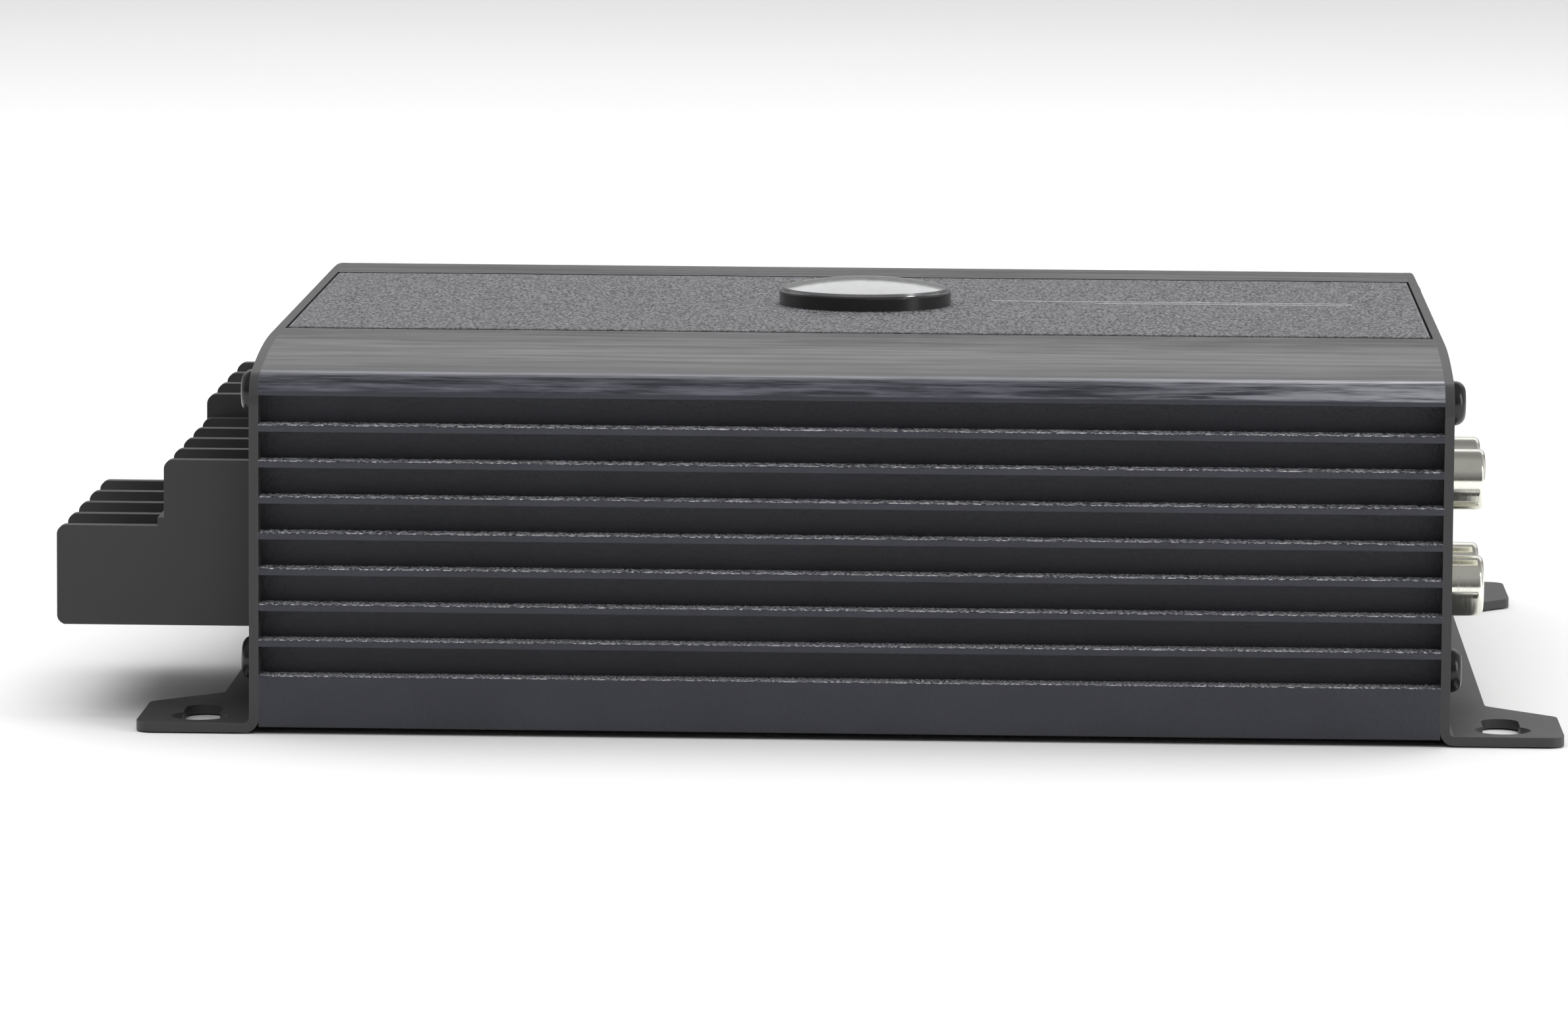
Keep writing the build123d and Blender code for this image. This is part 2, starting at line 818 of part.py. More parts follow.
with BuildPart() as power_terminal_contacts:
    for column_y in power_columns_y:
        pad_y = (column_y - power_pad_width / 2, column_y + power_pad_width / 2)
        block((power_wall_x - contact_thickness, power_wall_x), pad_y, power_pad_z)
        foot_z = (power_pad_z[0], power_pad_z[0] + contact_thickness)
        block((power_wall_x, contact_tail_x + contact_thickness), pad_y, foot_z)
        block((contact_tail_x, contact_tail_x + contact_thickness), pad_y, (ledge_top_z, foot_z[1]))
        with Locations(facing_x(power_wall_x, column_y, power_terminal_z)):
            Cylinder(power_screw_radius + screw_clearance, through_cut, mode=Mode.SUBTRACT)

power_seat_x = power_wall_x - contact_thickness

with BuildPart() as power_clamp_washers:
    for column_y in power_columns_y:
        with Locations(facing_x(power_seat_x, column_y, power_terminal_z, -1)):
            Box(
                power_washer_size,
                power_washer_size,
                washer_thickness,
                align=(Align.CENTER, Align.CENTER, Align.MIN),
            )
            Cylinder(power_screw_radius + screw_clearance, through_cut, mode=Mode.SUBTRACT)

power_screw = pan_head_screw(
    power_screw_head_radius, power_screw_head_height, power_screw_radius, power_screw_length
)

with BuildPart() as power_terminal_screws:
    with Locations(
        *[facing_x(power_seat_x - washer_thickness, y, power_terminal_z, -1) for y in power_columns_y]
    ):
        add(power_screw)

with BuildPart() as power_terminal_block:
    block(
        (power_wall_x, block_back_x),
        (power_near_y, power_far_y),
        (power_bottom_z, power_top_z - divider_rise),
    )
    for i in range(power_columns + 1):
        with BuildSketch(y_plane(power_near_y + power_divider / 2 + i * power_pitch)) as divider:
            with BuildLine():
                Polyline(
                    (block_back_x, power_bottom_z),
                    (power_front_x, power_bottom_z),
                    (power_front_x, power_top_z),
                    (block_back_x, power_top_z),
                    close=True,
                )
            make_face()
            outer = divider.vertices().filter_by(lambda v: v.X < power_front_x + 0.1)
            fillet(outer, radius=power_corner_radius)
        extrude(amount=power_divider / 2, both=True)
    block(
        (-half_length, -half_length + collar_thickness),
        (power_near_y, power_far_y),
        (collar_bottom_z, power_top_z + collar_rise),
    )
    add(power_terminal_contacts.part, mode=Mode.SUBTRACT)
    with Locations(*[facing_x(power_wall_x, y, power_terminal_z) for y in power_columns_y]):
        Cylinder(
            power_screw_radius + screw_clearance,
            power_hole_depth,
            align=(Align.CENTER, Align.CENTER, Align.MIN),
            mode=Mode.SUBTRACT,
        )

# ---------------------------------------------------------------------------------------------
# Fuses
# ---------------------------------------------------------------------------------------------

blade_tip_x = fuse_seat_x + fuse_blade_length
blade_spots_z = (fuse_z - fuse_blade_spacing / 2, fuse_z + fuse_blade_spacing / 2)
clip_width = fuse_blade_width + 2 * clip_side_margin
clip_tail_x = blade_tip_x + clip_end_margin
slit_half = fuse_blade_thickness / 2 + clip_blade_gap

with BuildPart() as fuse_clips:
    for y in fuse_y:
        for z in blade_spots_z:
            clip_y = (y - clip_thickness / 2, y + clip_thickness / 2)
            clip_z = (z - clip_width / 2, z + clip_width / 2)
            block((fuse_seat_x + 0.6, clip_tail_x), clip_y, clip_z)
            block(
                (fuse_seat_x, blade_tip_x + 0.3),
                (y - slit_half, y + slit_half),
                clip_z,
                mode=Mode.SUBTRACT,
            )
    # A leg from each clip down to the board, the upper clips' legs standing further in
    for y in fuse_y:
        for z, leg_x in zip(blade_spots_z, (clip_tail_x, clip_tail_x + clip_leg_step)):
            leg_y = (y - clip_thickness / 2, y + clip_thickness / 2)
            block((clip_tail_x - 0.1, leg_x + contact_thickness), leg_y, (z - 0.4, z + 0.4))
            block((leg_x, leg_x + contact_thickness), leg_y, (ledge_top_z, z + 0.4))

with BuildPart() as fuse_holder:
    block((fuse_holder_front_x, clip_tail_x), fuse_holder_y, fuse_holder_z)
    block(
        (-half_length, -half_length + collar_thickness),
        (fuse_holder_y[0] - fuse_collar_margin, fuse_holder_y[1] + fuse_collar_margin),
        (fuse_holder_z[0] - fuse_collar_lower_margin, fuse_holder_z[1] + fuse_collar_margin),
    )
    fillet(fuse_holder.edges().filter_by(Axis.X).group_by(Axis.X)[0], radius=fuse_holder_fillet)
    for y in fuse_y:
        pocket_half = fuse_body_thickness / 2 + fuse_fit
        block(
            (fuse_holder_front_x - 1, fuse_seat_x + 0.2),
            (y - pocket_half, y + pocket_half),
            (fuse_z - fuse_body_width / 2 - fuse_fit, fuse_z + fuse_body_width / 2 + fuse_fit),
            mode=Mode.SUBTRACT,
        )
        for z in blade_spots_z:
            block(
                (fuse_seat_x, clip_tail_x + 1),
                (y - clip_thickness / 2, y + clip_thickness / 2),
                (z - clip_width / 2, z + clip_width / 2),
                mode=Mode.SUBTRACT,
            )


def add_fuse_body(y):
    """Adds one blade fuse's moulded body, with its wider grip, to the open part."""
    grip_inner_x = fuse_tip_x + fuse_grip_height
    half_width = fuse_body_width / 2
    half_grip_width = half_width + fuse_grip_overhang
    half_body = fuse_body_thickness / 2
    half_grip = fuse_grip_thickness / 2
    block(
        (fuse_tip_x + 1, fuse_seat_x),
        (y - half_body, y + half_body),
        (fuse_z - half_width, fuse_z + half_width),
    )
    block(
        (fuse_tip_x, grip_inner_x),
        (y - half_grip, y + half_grip),
        (fuse_z - half_grip_width, fuse_z + half_grip_width),
    )
    # Test-point windows in the grip's outer face
    window_depth, window_width, window_height = fuse_window_size
    for z in blade_spots_z:
        block(
            (fuse_tip_x - 1, fuse_tip_x + window_depth),
            (y - window_width / 2, y + window_width / 2),
            (z - window_height / 2, z + window_height / 2),
            mode=Mode.SUBTRACT,
        )


def add_fuse_blades(y):
    """Adds one fuse's pair of flat blades to the open part."""
    for z in blade_spots_z:
        block(
            (fuse_seat_x, blade_tip_x),
            (y - fuse_blade_thickness / 2, y + fuse_blade_thickness / 2),
            (z - fuse_blade_width / 2, z + fuse_blade_width / 2),
        )


with BuildPart() as fuse_a_body:
    add_fuse_body(fuse_y[0])

with BuildPart() as fuse_a_blades:
    add_fuse_blades(fuse_y[0])

with BuildPart() as fuse_b_body:
    add_fuse_body(fuse_y[1])

with BuildPart() as fuse_b_blades:
    add_fuse_blades(fuse_y[1])

# ---------------------------------------------------------------------------------------------
# Phono jacks and high-level socket
# ---------------------------------------------------------------------------------------------

jack_places = [facing_x(jack_shell_start_x, y, z) for y, z in jack_spots]
jack_length = jack_tip_x - jack_shell_start_x
jack_bore = jack_shell_radius - jack_shell_wall
upper_jack_places = [facing_x(jack_shell_start_x, y, jack_z[1]) for y in jack_y]
lower_jack_places = [facing_x(jack_shell_start_x, y, jack_z[0]) for y in jack_y]


def phono_shell():
    """One jack's outer shell, open at the far end, standing on Z = 0."""
    with BuildPart() as shell:
        Cylinder(jack_shell_radius, jack_length, align=(Align.CENTER, Align.CENTER, Align.MIN))
        fillet(shell.edges().group_by(Axis.Z)[-1], radius=jack_tip_fillet)
        Cylinder(
            jack_bore,
            jack_length - jack_lip_length,
            align=(Align.CENTER, Align.CENTER, Align.MIN),
            mode=Mode.SUBTRACT,
        )
        Cylinder(
            jack_shell_radius - jack_lip_wall,
            jack_length,
            align=(Align.CENTER, Align.CENTER, Align.MIN),
            mode=Mode.SUBTRACT,
        )
    return shell.part


def phono_insulator():
    """One jack's coloured insulator, bored for its centre contact, standing on Z = 0."""
    with BuildPart() as insulator:
        Cylinder(jack_bore, jack_insulator_length, align=(Align.CENTER, Align.CENTER, Align.MIN))
        Cylinder(
            jack_contact_radius,
            jack_insulator_length,
            align=(Align.CENTER, Align.CENTER, Align.MIN),
            mode=Mode.SUBTRACT,
        )
    return insulator.part


jack_shell = phono_shell()
jack_insulator = phono_insulator()

with BuildPart() as phono_jack_shells:
    with Locations(*jack_places):
        add(jack_shell)

with BuildPart() as upper_jack_insulators:
    with Locations(*upper_jack_places):
        add(jack_insulator)

with BuildPart() as lower_jack_insulators:
    with Locations(*lower_jack_places):
        add(jack_insulator)

with BuildPart() as phono_centre_contacts:
    with Locations(*jack_places):
        Cylinder(
            jack_contact_radius,
            jack_insulator_length - jack_contact_recess,
            align=(Align.CENTER, Align.CENTER, Align.MIN),
        )
    with Locations(*[facing_x(jack_shell_start_x + jack_contact_floor, y, z) for y, z in jack_spots]):
        Cylinder(
            jack_contact_bore,
            jack_insulator_length,
            align=(Align.CENTER, Align.CENTER, Align.MIN),
            mode=Mode.SUBTRACT,
        )

with BuildPart() as phono_jack_block:
    block(
        (jack_body_back_x, half_length - plate_gap),
        (jack_y[0] - jack_block_margin, jack_y[1] + jack_block_margin),
        (board_top_z, jack_z[1] + jack_block_margin),
    )
    fillet(phono_jack_block.edges().filter_by(Axis.X), radius=jack_block_fillet)
    with Locations(*jack_places):
        Cylinder(
            jack_shell_radius,
            jack_length,
            align=(Align.CENTER, Align.CENTER, Align.MIN),
            mode=Mode.SUBTRACT,
        )

with BuildPart() as high_level_socket:
    socket_half = socket_width / 2
    block(
        (socket_back_x, half_length - plate_gap),
        (socket_y - socket_half - socket_rim, socket_y + socket_half + socket_rim),
        (board_top_z, socket_z + socket_height / 2 + socket_rim),
    )
    block(
        (socket_back_x, plate_face_x - 0.1),
        (socket_y - socket_half, socket_y + socket_half),
        (socket_z - socket_height / 2, socket_z + socket_height / 2),
    )
    block(
        (plate_face_x - socket_depth, plate_face_x + 1),
        (socket_y - socket_half + socket_wall, socket_y + socket_half - socket_wall),
        (socket_z - socket_height / 2 + socket_wall, socket_z + socket_height / 2 - socket_wall),
        mode=Mode.SUBTRACT,
    )

with BuildPart() as high_level_pins:
    with BuildSketch(Plane.YZ.offset(plate_face_x - socket_depth)):
        with Locations((socket_y, socket_z)):
            with GridLocations(socket_pin_pitch, socket_row_pitch, 4, 2):
                Rectangle(socket_pin_size, socket_pin_size)
    extrude(amount=socket_depth - socket_pin_recess)

# ---------------------------------------------------------------------------------------------
# Controls
# ---------------------------------------------------------------------------------------------

with BuildPart() as control_board:
    block(
        (control_board_x, control_front_x),
        control_board_y,
        (board_top_z, board_top_z + control_board_height),
    )

with BuildPart() as potentiometers:
    for y, z in rotary_spots:
        block(
            (control_front_x, control_front_x + pot_depth),
            (y - pot_width / 2, y + pot_width / 2),
            (z - pot_height / 2, z + pot_height / 2),
        )
        with Locations(facing_x(control_front_x + pot_depth - knob_shaft_depth, y, z)):
            Cylinder(
                knob_shaft_radius + knob_clearance,
                knob_shaft_depth + 1,
                align=(Align.CENTER, Align.CENTER, Align.MIN),
                mode=Mode.SUBTRACT,
            )


def fluted_knob(y, z):
    """One fluted knob with its screwdriver slot and its shaft."""
    shaft_start_x = control_front_x + pot_depth - knob_shaft_depth + floor_gap
    with BuildPart() as knob:
        with BuildSketch(Plane.YZ.offset(shaft_start_x)):
            with Locations((y, z)):
                Circle(knob_shaft_radius)
        extrude(amount=knob_back_x - shaft_start_x)
        with BuildSketch(Plane.YZ.offset(knob_back_x)):
            with Locations((y, z)):
                Circle(knob_radius)
                with PolarLocations(knob_radius, knob_flutes):
                    Circle(knob_flute_radius, mode=Mode.SUBTRACT)
        extrude(amount=knob_face_x - knob_back_x)
        with BuildSketch(Plane.YZ.offset(knob_face_x)):
            with Locations((y, z)):
                SlotOverall(knob_slot_length, knob_slot_width, rotation=90)
        extrude(amount=-knob_slot_depth, mode=Mode.SUBTRACT)
    return knob


front_gain_knob = fluted_knob(gain_y, control_high_z)
rear_gain_knob = fluted_knob(gain_y, control_low_z)
front_crossover_knob = fluted_knob(crossover_y, control_high_z)
rear_crossover_knob = fluted_knob(crossover_y, control_low_z)

# Each switch: the lever's Y and Z at rest, and its travel towards -Y and +Y
front_filter_switch = (filter_switch_y, control_high_z, filter_switch_travel, filter_switch_travel)
rear_filter_switch = (filter_switch_y, control_low_z, filter_switch_travel, filter_switch_travel)
level_switch = (level_switch_y, control_high_z, 0.0, level_switch_travel)

with BuildPart() as slide_switch_bodies:
    for y, z, back, forth in (front_filter_switch, rear_filter_switch, level_switch):
        middle_y = y + (forth - back) / 2
        block(
            (control_front_x, control_front_x + switch_depth),
            (middle_y - switch_width / 2, middle_y + switch_width / 2),
            (z - switch_height / 2, z + switch_height / 2),
        )
        block(
            (
                control_front_x + switch_depth - lever_foot_depth - floor_gap,
                control_front_x + switch_depth + 1,
            ),
            (y - back - lever_width / 2 - lever_gap, y + forth + lever_width / 2 + lever_gap),
            (z - lever_height / 2 - lever_gap, z + lever_height / 2 + lever_gap),
            mode=Mode.SUBTRACT,
        )


def add_lever(y, z):
    """Adds one slide switch's lever, ridged across its tip, to the open part."""
    block(
        (control_front_x + switch_depth - lever_foot_depth, lever_tip_x),
        (y - lever_width / 2, y + lever_width / 2),
        (z - lever_height / 2, z + lever_height / 2),
    )
    for ridge_y in (y - lever_ridge_spacing / 2, y + lever_ridge_spacing / 2):
        block(
            (lever_tip_x - lever_ridge_depth, lever_tip_x + 1),
            (ridge_y - lever_ridge_width / 2, ridge_y + lever_ridge_width / 2),
            (z - lever_height, z + lever_height),
            mode=Mode.SUBTRACT,
        )


with BuildPart() as front_filter_lever:
    add_lever(filter_switch_y, control_high_z)

with BuildPart() as rear_filter_lever:
    add_lever(filter_switch_y, control_low_z)

with BuildPart() as input_level_lever:
    add_lever(level_switch_y, control_high_z)

with BuildPart() as power_led:
    led_start_x = control_front_x + led_spacer_length
    with Locations(facing_x(led_start_x, level_switch_y, control_low_z)):
        Cylinder(
            led_radius + led_flange,
            led_flange_height,
            align=(Align.CENTER, Align.CENTER, Align.MIN),
        )
        Cylinder(
            led_radius,
            led_tip_x - led_start_x,
            align=(Align.CENTER, Align.CENTER, Align.MIN),
        )
    fillet(power_led.edges().group_by(Axis.X)[-1], radius=led_radius * 0.8)

with BuildPart() as led_spacer:
    with Locations(facing_x(control_front_x, level_switch_y, control_low_z)):
        Cylinder(
            led_radius + led_spacer_rim,
            led_spacer_length,
            align=(Align.CENTER, Align.CENTER, Align.MIN),
        )

with BuildPart() as board_connector:
    # Pin header that ties the control board to the main board
    block(
        (control_board_x - connector_size, control_board_x),
        connector_y,
        (board_top_z, board_top_z + connector_size),
    )
    fillet(board_connector.edges().filter_by(Axis.Y), radius=connector_fillet)

# ---------------------------------------------------------------------------------------------
# Power devices on the side walls
# ---------------------------------------------------------------------------------------------


def wall_block(side, x_range, depth_range, z_range, mode=Mode.ADD):
    """A block placed by its distance in from a side wall's pad face."""
    y_limits = sorted((side * (device_face_y - depth_range[0]), side * (device_face_y - depth_range[1])))
    block(x_range, tuple(y_limits), z_range, mode=mode)


device_spots = [(side, x) for side in (-1, 1) for x in device_x]
device_body_top_z = device_bottom_z + device_body_height
tab_hole_z = device_body_top_z + device_tab_hole_rise

with BuildPart() as insulating_strips:
    for side in (-1, 1):
        wall_block(
            side,
            (device_x[0] - strip_overhang, device_x[-1] + strip_overhang),
            (-pad_thickness, 0),
            (device_bottom_z - strip_margin, device_body_top_z + device_tab_height + strip_margin),
        )
        for x in clamp_screw_x:
            with Locations(Location((x, side * inner_wall_y, clamp_bar_z), (90, 0, 0))):
                Cylinder(clamp_screw_radius + pad_hole_clearance, through_cut, mode=Mode.SUBTRACT)

with BuildPart() as transistor_packages:
    for side, x in device_spots:
        half = device_width / 2
        wall_block(
            side,
            (x - half, x + half),
            (device_tab_thickness, device_thickness),
            (device_bottom_z, device_body_top_z),
        )

with BuildPart() as transistor_leadframes:
    for side, x in device_spots:
        half = device_width / 2
        # Metal tab behind and above the package
        wall_block(
            side,
            (x - half, x + half),
            (0, device_tab_thickness),
            (device_bottom_z, device_body_top_z + device_tab_height),
        )
        with Locations(Location((x, side * device_face_y, tab_hole_z), (90, 0, 0))):
            Cylinder(device_tab_hole_radius, through_cut, mode=Mode.SUBTRACT)
        # Three leads, bent inward over the screw channel and down to the board
        half_lead = device_lead_size / 2
        foot_depth = device_face_y - device_lead_foot_y
        for i in (-1, 0, 1):
            lead_x = (x + i * device_lead_pitch - half_lead, x + i * device_lead_pitch + half_lead)
            lead_y = (device_tab_thickness - 0.1, device_lead_depth + half_lead)
            bend_z = (device_lead_bend_z - half_lead, device_lead_bend_z + half_lead)
            wall_block(side, lead_x, lead_y, (device_bottom_z - device_lead_size, device_bottom_z))
            down = (device_lead_depth - half_lead, device_lead_depth + half_lead)
            wall_block(side, lead_x, down, (device_lead_bend_z - half_lead, device_bottom_z))
            wall_block(side, lead_x, (down[0], foot_depth + half_lead), bend_z)
            foot = (foot_depth - half_lead, foot_depth + half_lead)
            wall_block(side, lead_x, foot, (ledge_top_z, bend_z[1]))

with BuildPart() as clamp_bars:
    for side in (-1, 1):
        wall_block(
            side,
            (device_x[0] - strip_overhang, device_x[-1] + strip_overhang),
            (device_thickness, device_thickness + clamp_bar_thickness),
            (clamp_bar_z - clamp_bar_height / 2, clamp_bar_z + clamp_bar_height / 2),
        )
    fillet(clamp_bars.edges().filter_by(Axis.X), radius=clamp_bar_fillet)
    for side in (-1, 1):
        for x in clamp_screw_x:
            with Locations(Location((x, side * device_face_y, clamp_bar_z), (90, 0, 0))):
                Cylinder(clamp_screw_radius + screw_clearance, 20, mode=Mode.SUBTRACT)

clamp_screw = pan_head_screw(
    plate_screw_head_radius, plate_screw_head_height, clamp_screw_radius, clamp_screw_length
)

with BuildPart() as clamp_bar_screws:
    seat_y = device_face_y - device_thickness - clamp_bar_thickness
    with Locations(
        *[
            Location((x, side * seat_y, clamp_bar_z), (90 * side, 0, 0))
            for side in (-1, 1)
            for x in clamp_screw_x
        ]
    ):
        add(clamp_screw)

# ---------------------------------------------------------------------------------------------
# Parts on the main board
# ---------------------------------------------------------------------------------------------

toroid_middle_z = board_top_z + toroid_section_height / 2 + toroid_lift

with BuildPart() as toroid_core:
    with BuildSketch(Plane.XZ.offset(-toroid_center[1])):
        with Locations((toroid_center[0] + toroid_radius, toroid_middle_z)):
            RectangleRounded(toroid_section_width, toroid_section_height, toroid_corner_radius)
    revolve(axis=Axis((toroid_center[0], toroid_center[1], 0), (0, 0, 1)))


def winding_turn():
    """One closed turn of wire around the toroid's section, standing in the XZ plane."""
    inner_width = toroid_section_width + 2 * winding_gap
    inner_height = toroid_section_height + 2 * winding_gap
    outer_growth = 4 * winding_wire_radius
    with BuildPart() as turn:
        with BuildSketch(Plane.XZ):
            RectangleRounded(
                inner_width + outer_growth, inner_height + outer_growth, winding_corner_radius
            )
            RectangleRounded(inner_width, inner_height, toroid_corner_radius, mode=Mode.SUBTRACT)
        extrude(amount=winding_wire_radius * 0.9, both=True)
        fillet(turn.edges().filter_by(Plane.XZ).group_by(SortBy.LENGTH)[-1], radius=winding_edge_radius)
    return turn.part


toroid_turn = winding_turn()

with BuildPart() as toroid_windings:
    with Locations((*toroid_center, toroid_middle_z)):
        with PolarLocations(toroid_radius, toroid_turns):
            add(toroid_turn)

with BuildPart() as reservoir_capacitors:
    with Locations(*[(x, y, board_top_z) for x, y in capacitor_spots]):
        Cylinder(capacitor_radius, capacitor_height, align=(Align.CENTER, Align.CENTER, Align.MIN))
    fillet(reservoir_capacitors.edges().filter_by(GeomType.CIRCLE), radius=capacitor_edge_radius)
    # Scored vent in the top
    with Locations(*[(x, y, board_top_z + capacitor_height) for x, y in capacitor_spots]):
        Box(capacitor_radius * 1.2, capacitor_vent_width, capacitor_vent_depth, mode=Mode.SUBTRACT)
        Box(capacitor_vent_width, capacitor_radius * 1.2, capacitor_vent_depth, mode=Mode.SUBTRACT)

with BuildPart() as choke_core:
    with Locations((*choke_center, board_top_z)):
        Cylinder(choke_core_radius, choke_height, align=(Align.CENTER, Align.CENTER, Align.MIN))
        Cylinder(
            choke_core_radius + choke_foot_overhang,
            choke_foot_height,
            align=(Align.CENTER, Align.CENTER, Align.MIN),
        )
    fillet(choke_core.edges().group_by(Axis.Z)[-1], radius=choke_edge_radius)

with BuildPart() as choke_winding:
    choke_winding_pitch = 2 * choke_wire_radius + choke_turn_gap
    for i in range(choke_turns):
        with Locations((*choke_center, board_top_z + choke_winding_start + i * choke_winding_pitch)):
            Torus(choke_core_radius + choke_wire_radius + choke_wire_gap, choke_wire_radius)

with BuildPart() as amplifier_chips:
    with Locations(*[(x, y, board_top_z) for x, y in chip_spots]):
        Box(*chip_size, align=(Align.CENTER, Align.CENTER, Align.MIN))
    fillet(amplifier_chips.edges().filter_by(Axis.Z), radius=chip_fillet)

board_screw_spots = [(x, side * board_screw_y) for x in board_screw_x for side in (-1, 1)]

board_screw = pan_head_screw(
    plate_screw_head_radius, plate_screw_head_height, plate_screw_radius, board_screw_length
)

with BuildPart() as board_screws:
    with Locations(*[(x, y, board_top_z) for x, y in board_screw_spots]):
        add(board_screw)

with BuildPart() as main_circuit_board:
    block(
        (-board_half_length, board_half_length - 0.6),
        (-board_half_width, board_half_width),
        (ledge_top_z, board_top_z),
    )
    with Locations(*[(x, y, board_top_z) for x, y in board_screw_spots]):
        Cylinder(plate_screw_radius + board_hole_clearance, through_cut, mode=Mode.SUBTRACT)
    for soldered in (
        speaker_terminal_contacts,
        power_terminal_contacts,
        fuse_clips,
        transistor_leadframes,
    ):
        add(soldered.part, mode=Mode.SUBTRACT)

# ---------------------------------------------------------------------------------------------
# Every piece is labelled and written under its own name
# ---------------------------------------------------------------------------------------------

pieces = {
    "heatsink_housing": heatsink_housing,
    "top_panel": top_panel,
    "badge_base": badge_base,
    "badge_cap": badge_cap,
    "power_end_plate": power_end_plate,
    "signal_end_plate": signal_end_plate,
    "power_plate_screws": power_plate_screws,
    "signal_plate_screws": signal_plate_screws,
    "bottom_cover": bottom_cover,
    "bottom_cover_screws": bottom_cover_screws,
    "speaker_terminal_block": speaker_terminal_block,
    "speaker_terminal_contacts": speaker_terminal_contacts,
    "speaker_clamp_washers": speaker_clamp_washers,
    "speaker_terminal_screws": speaker_terminal_screws,
    "power_terminal_block": power_terminal_block,
    "power_terminal_contacts": power_terminal_contacts,
    "power_clamp_washers": power_clamp_washers,
    "power_terminal_screws": power_terminal_screws,
    "fuse_holder": fuse_holder,
    "fuse_clips": fuse_clips,
    "fuse_a_body": fuse_a_body,
    "fuse_a_blades": fuse_a_blades,
    "fuse_b_body": fuse_b_body,
    "fuse_b_blades": fuse_b_blades,
    "phono_jack_block": phono_jack_block,
    "phono_jack_shells": phono_jack_shells,
    "upper_jack_insulators": upper_jack_insulators,
    "lower_jack_insulators": lower_jack_insulators,
    "phono_centre_contacts": phono_centre_contacts,
    "high_level_socket": high_level_socket,
    "high_level_pins": high_level_pins,
    "control_board": control_board,
    "potentiometers": potentiometers,
    "front_gain_knob": front_gain_knob,
    "rear_gain_knob": rear_gain_knob,
    "front_crossover_knob": front_crossover_knob,
    "rear_crossover_knob": rear_crossover_knob,
    "slide_switch_bodies": slide_switch_bodies,
    "front_filter_lever": front_filter_lever,
    "rear_filter_lever": rear_filter_lever,
    "input_level_lever": input_level_lever,
    "power_led": power_led,
    "led_spacer": led_spacer,
    "board_connector": board_connector,
    "insulating_strips": insulating_strips,
    "transistor_packages": transistor_packages,
    "transistor_leadframes": transistor_leadframes,
    "clamp_bars": clamp_bars,
    "clamp_bar_screws": clamp_bar_screws,
    "toroid_core": toroid_core,
    "toroid_windings": toroid_windings,
    "reservoir_capacitors": reservoir_capacitors,
    "choke_core": choke_core,
    "choke_winding": choke_winding,
    "amplifier_chips": amplifier_chips,
    "board_screws": board_screws,
    "main_circuit_board": main_circuit_board,
}

os.makedirs("parts", exist_ok=True)
for name, piece in pieces.items():
    piece.part.label = name
    export_step(piece.part, f"parts/{name}.step")
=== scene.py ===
import json
import math

import bmesh
import bpy
from mathutils import Matrix, Vector


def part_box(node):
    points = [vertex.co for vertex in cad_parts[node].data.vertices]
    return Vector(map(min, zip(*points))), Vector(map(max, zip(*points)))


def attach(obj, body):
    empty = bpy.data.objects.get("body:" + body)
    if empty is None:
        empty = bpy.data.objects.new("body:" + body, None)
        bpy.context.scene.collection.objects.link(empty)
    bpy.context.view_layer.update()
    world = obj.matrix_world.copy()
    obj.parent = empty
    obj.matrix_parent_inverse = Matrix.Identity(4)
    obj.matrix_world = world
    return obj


# Looks for the four-channel car amplifier. The row frame is used throughout: metres, +X towards the
# signal jacks, -Y towards the camera, Z = 0 on the surface that the feet stand on.

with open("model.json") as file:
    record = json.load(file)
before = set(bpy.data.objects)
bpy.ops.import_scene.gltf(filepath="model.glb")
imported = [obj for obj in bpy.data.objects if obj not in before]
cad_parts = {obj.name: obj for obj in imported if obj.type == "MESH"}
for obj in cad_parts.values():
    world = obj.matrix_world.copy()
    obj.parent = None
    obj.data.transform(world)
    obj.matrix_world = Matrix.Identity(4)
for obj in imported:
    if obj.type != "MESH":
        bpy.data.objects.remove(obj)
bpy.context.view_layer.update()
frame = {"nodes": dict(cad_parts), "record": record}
nodes = frame["nodes"]
MM = 0.001


# ---------------------------------------------------------------------------------------------
# Node-tree helpers
# ---------------------------------------------------------------------------------------------


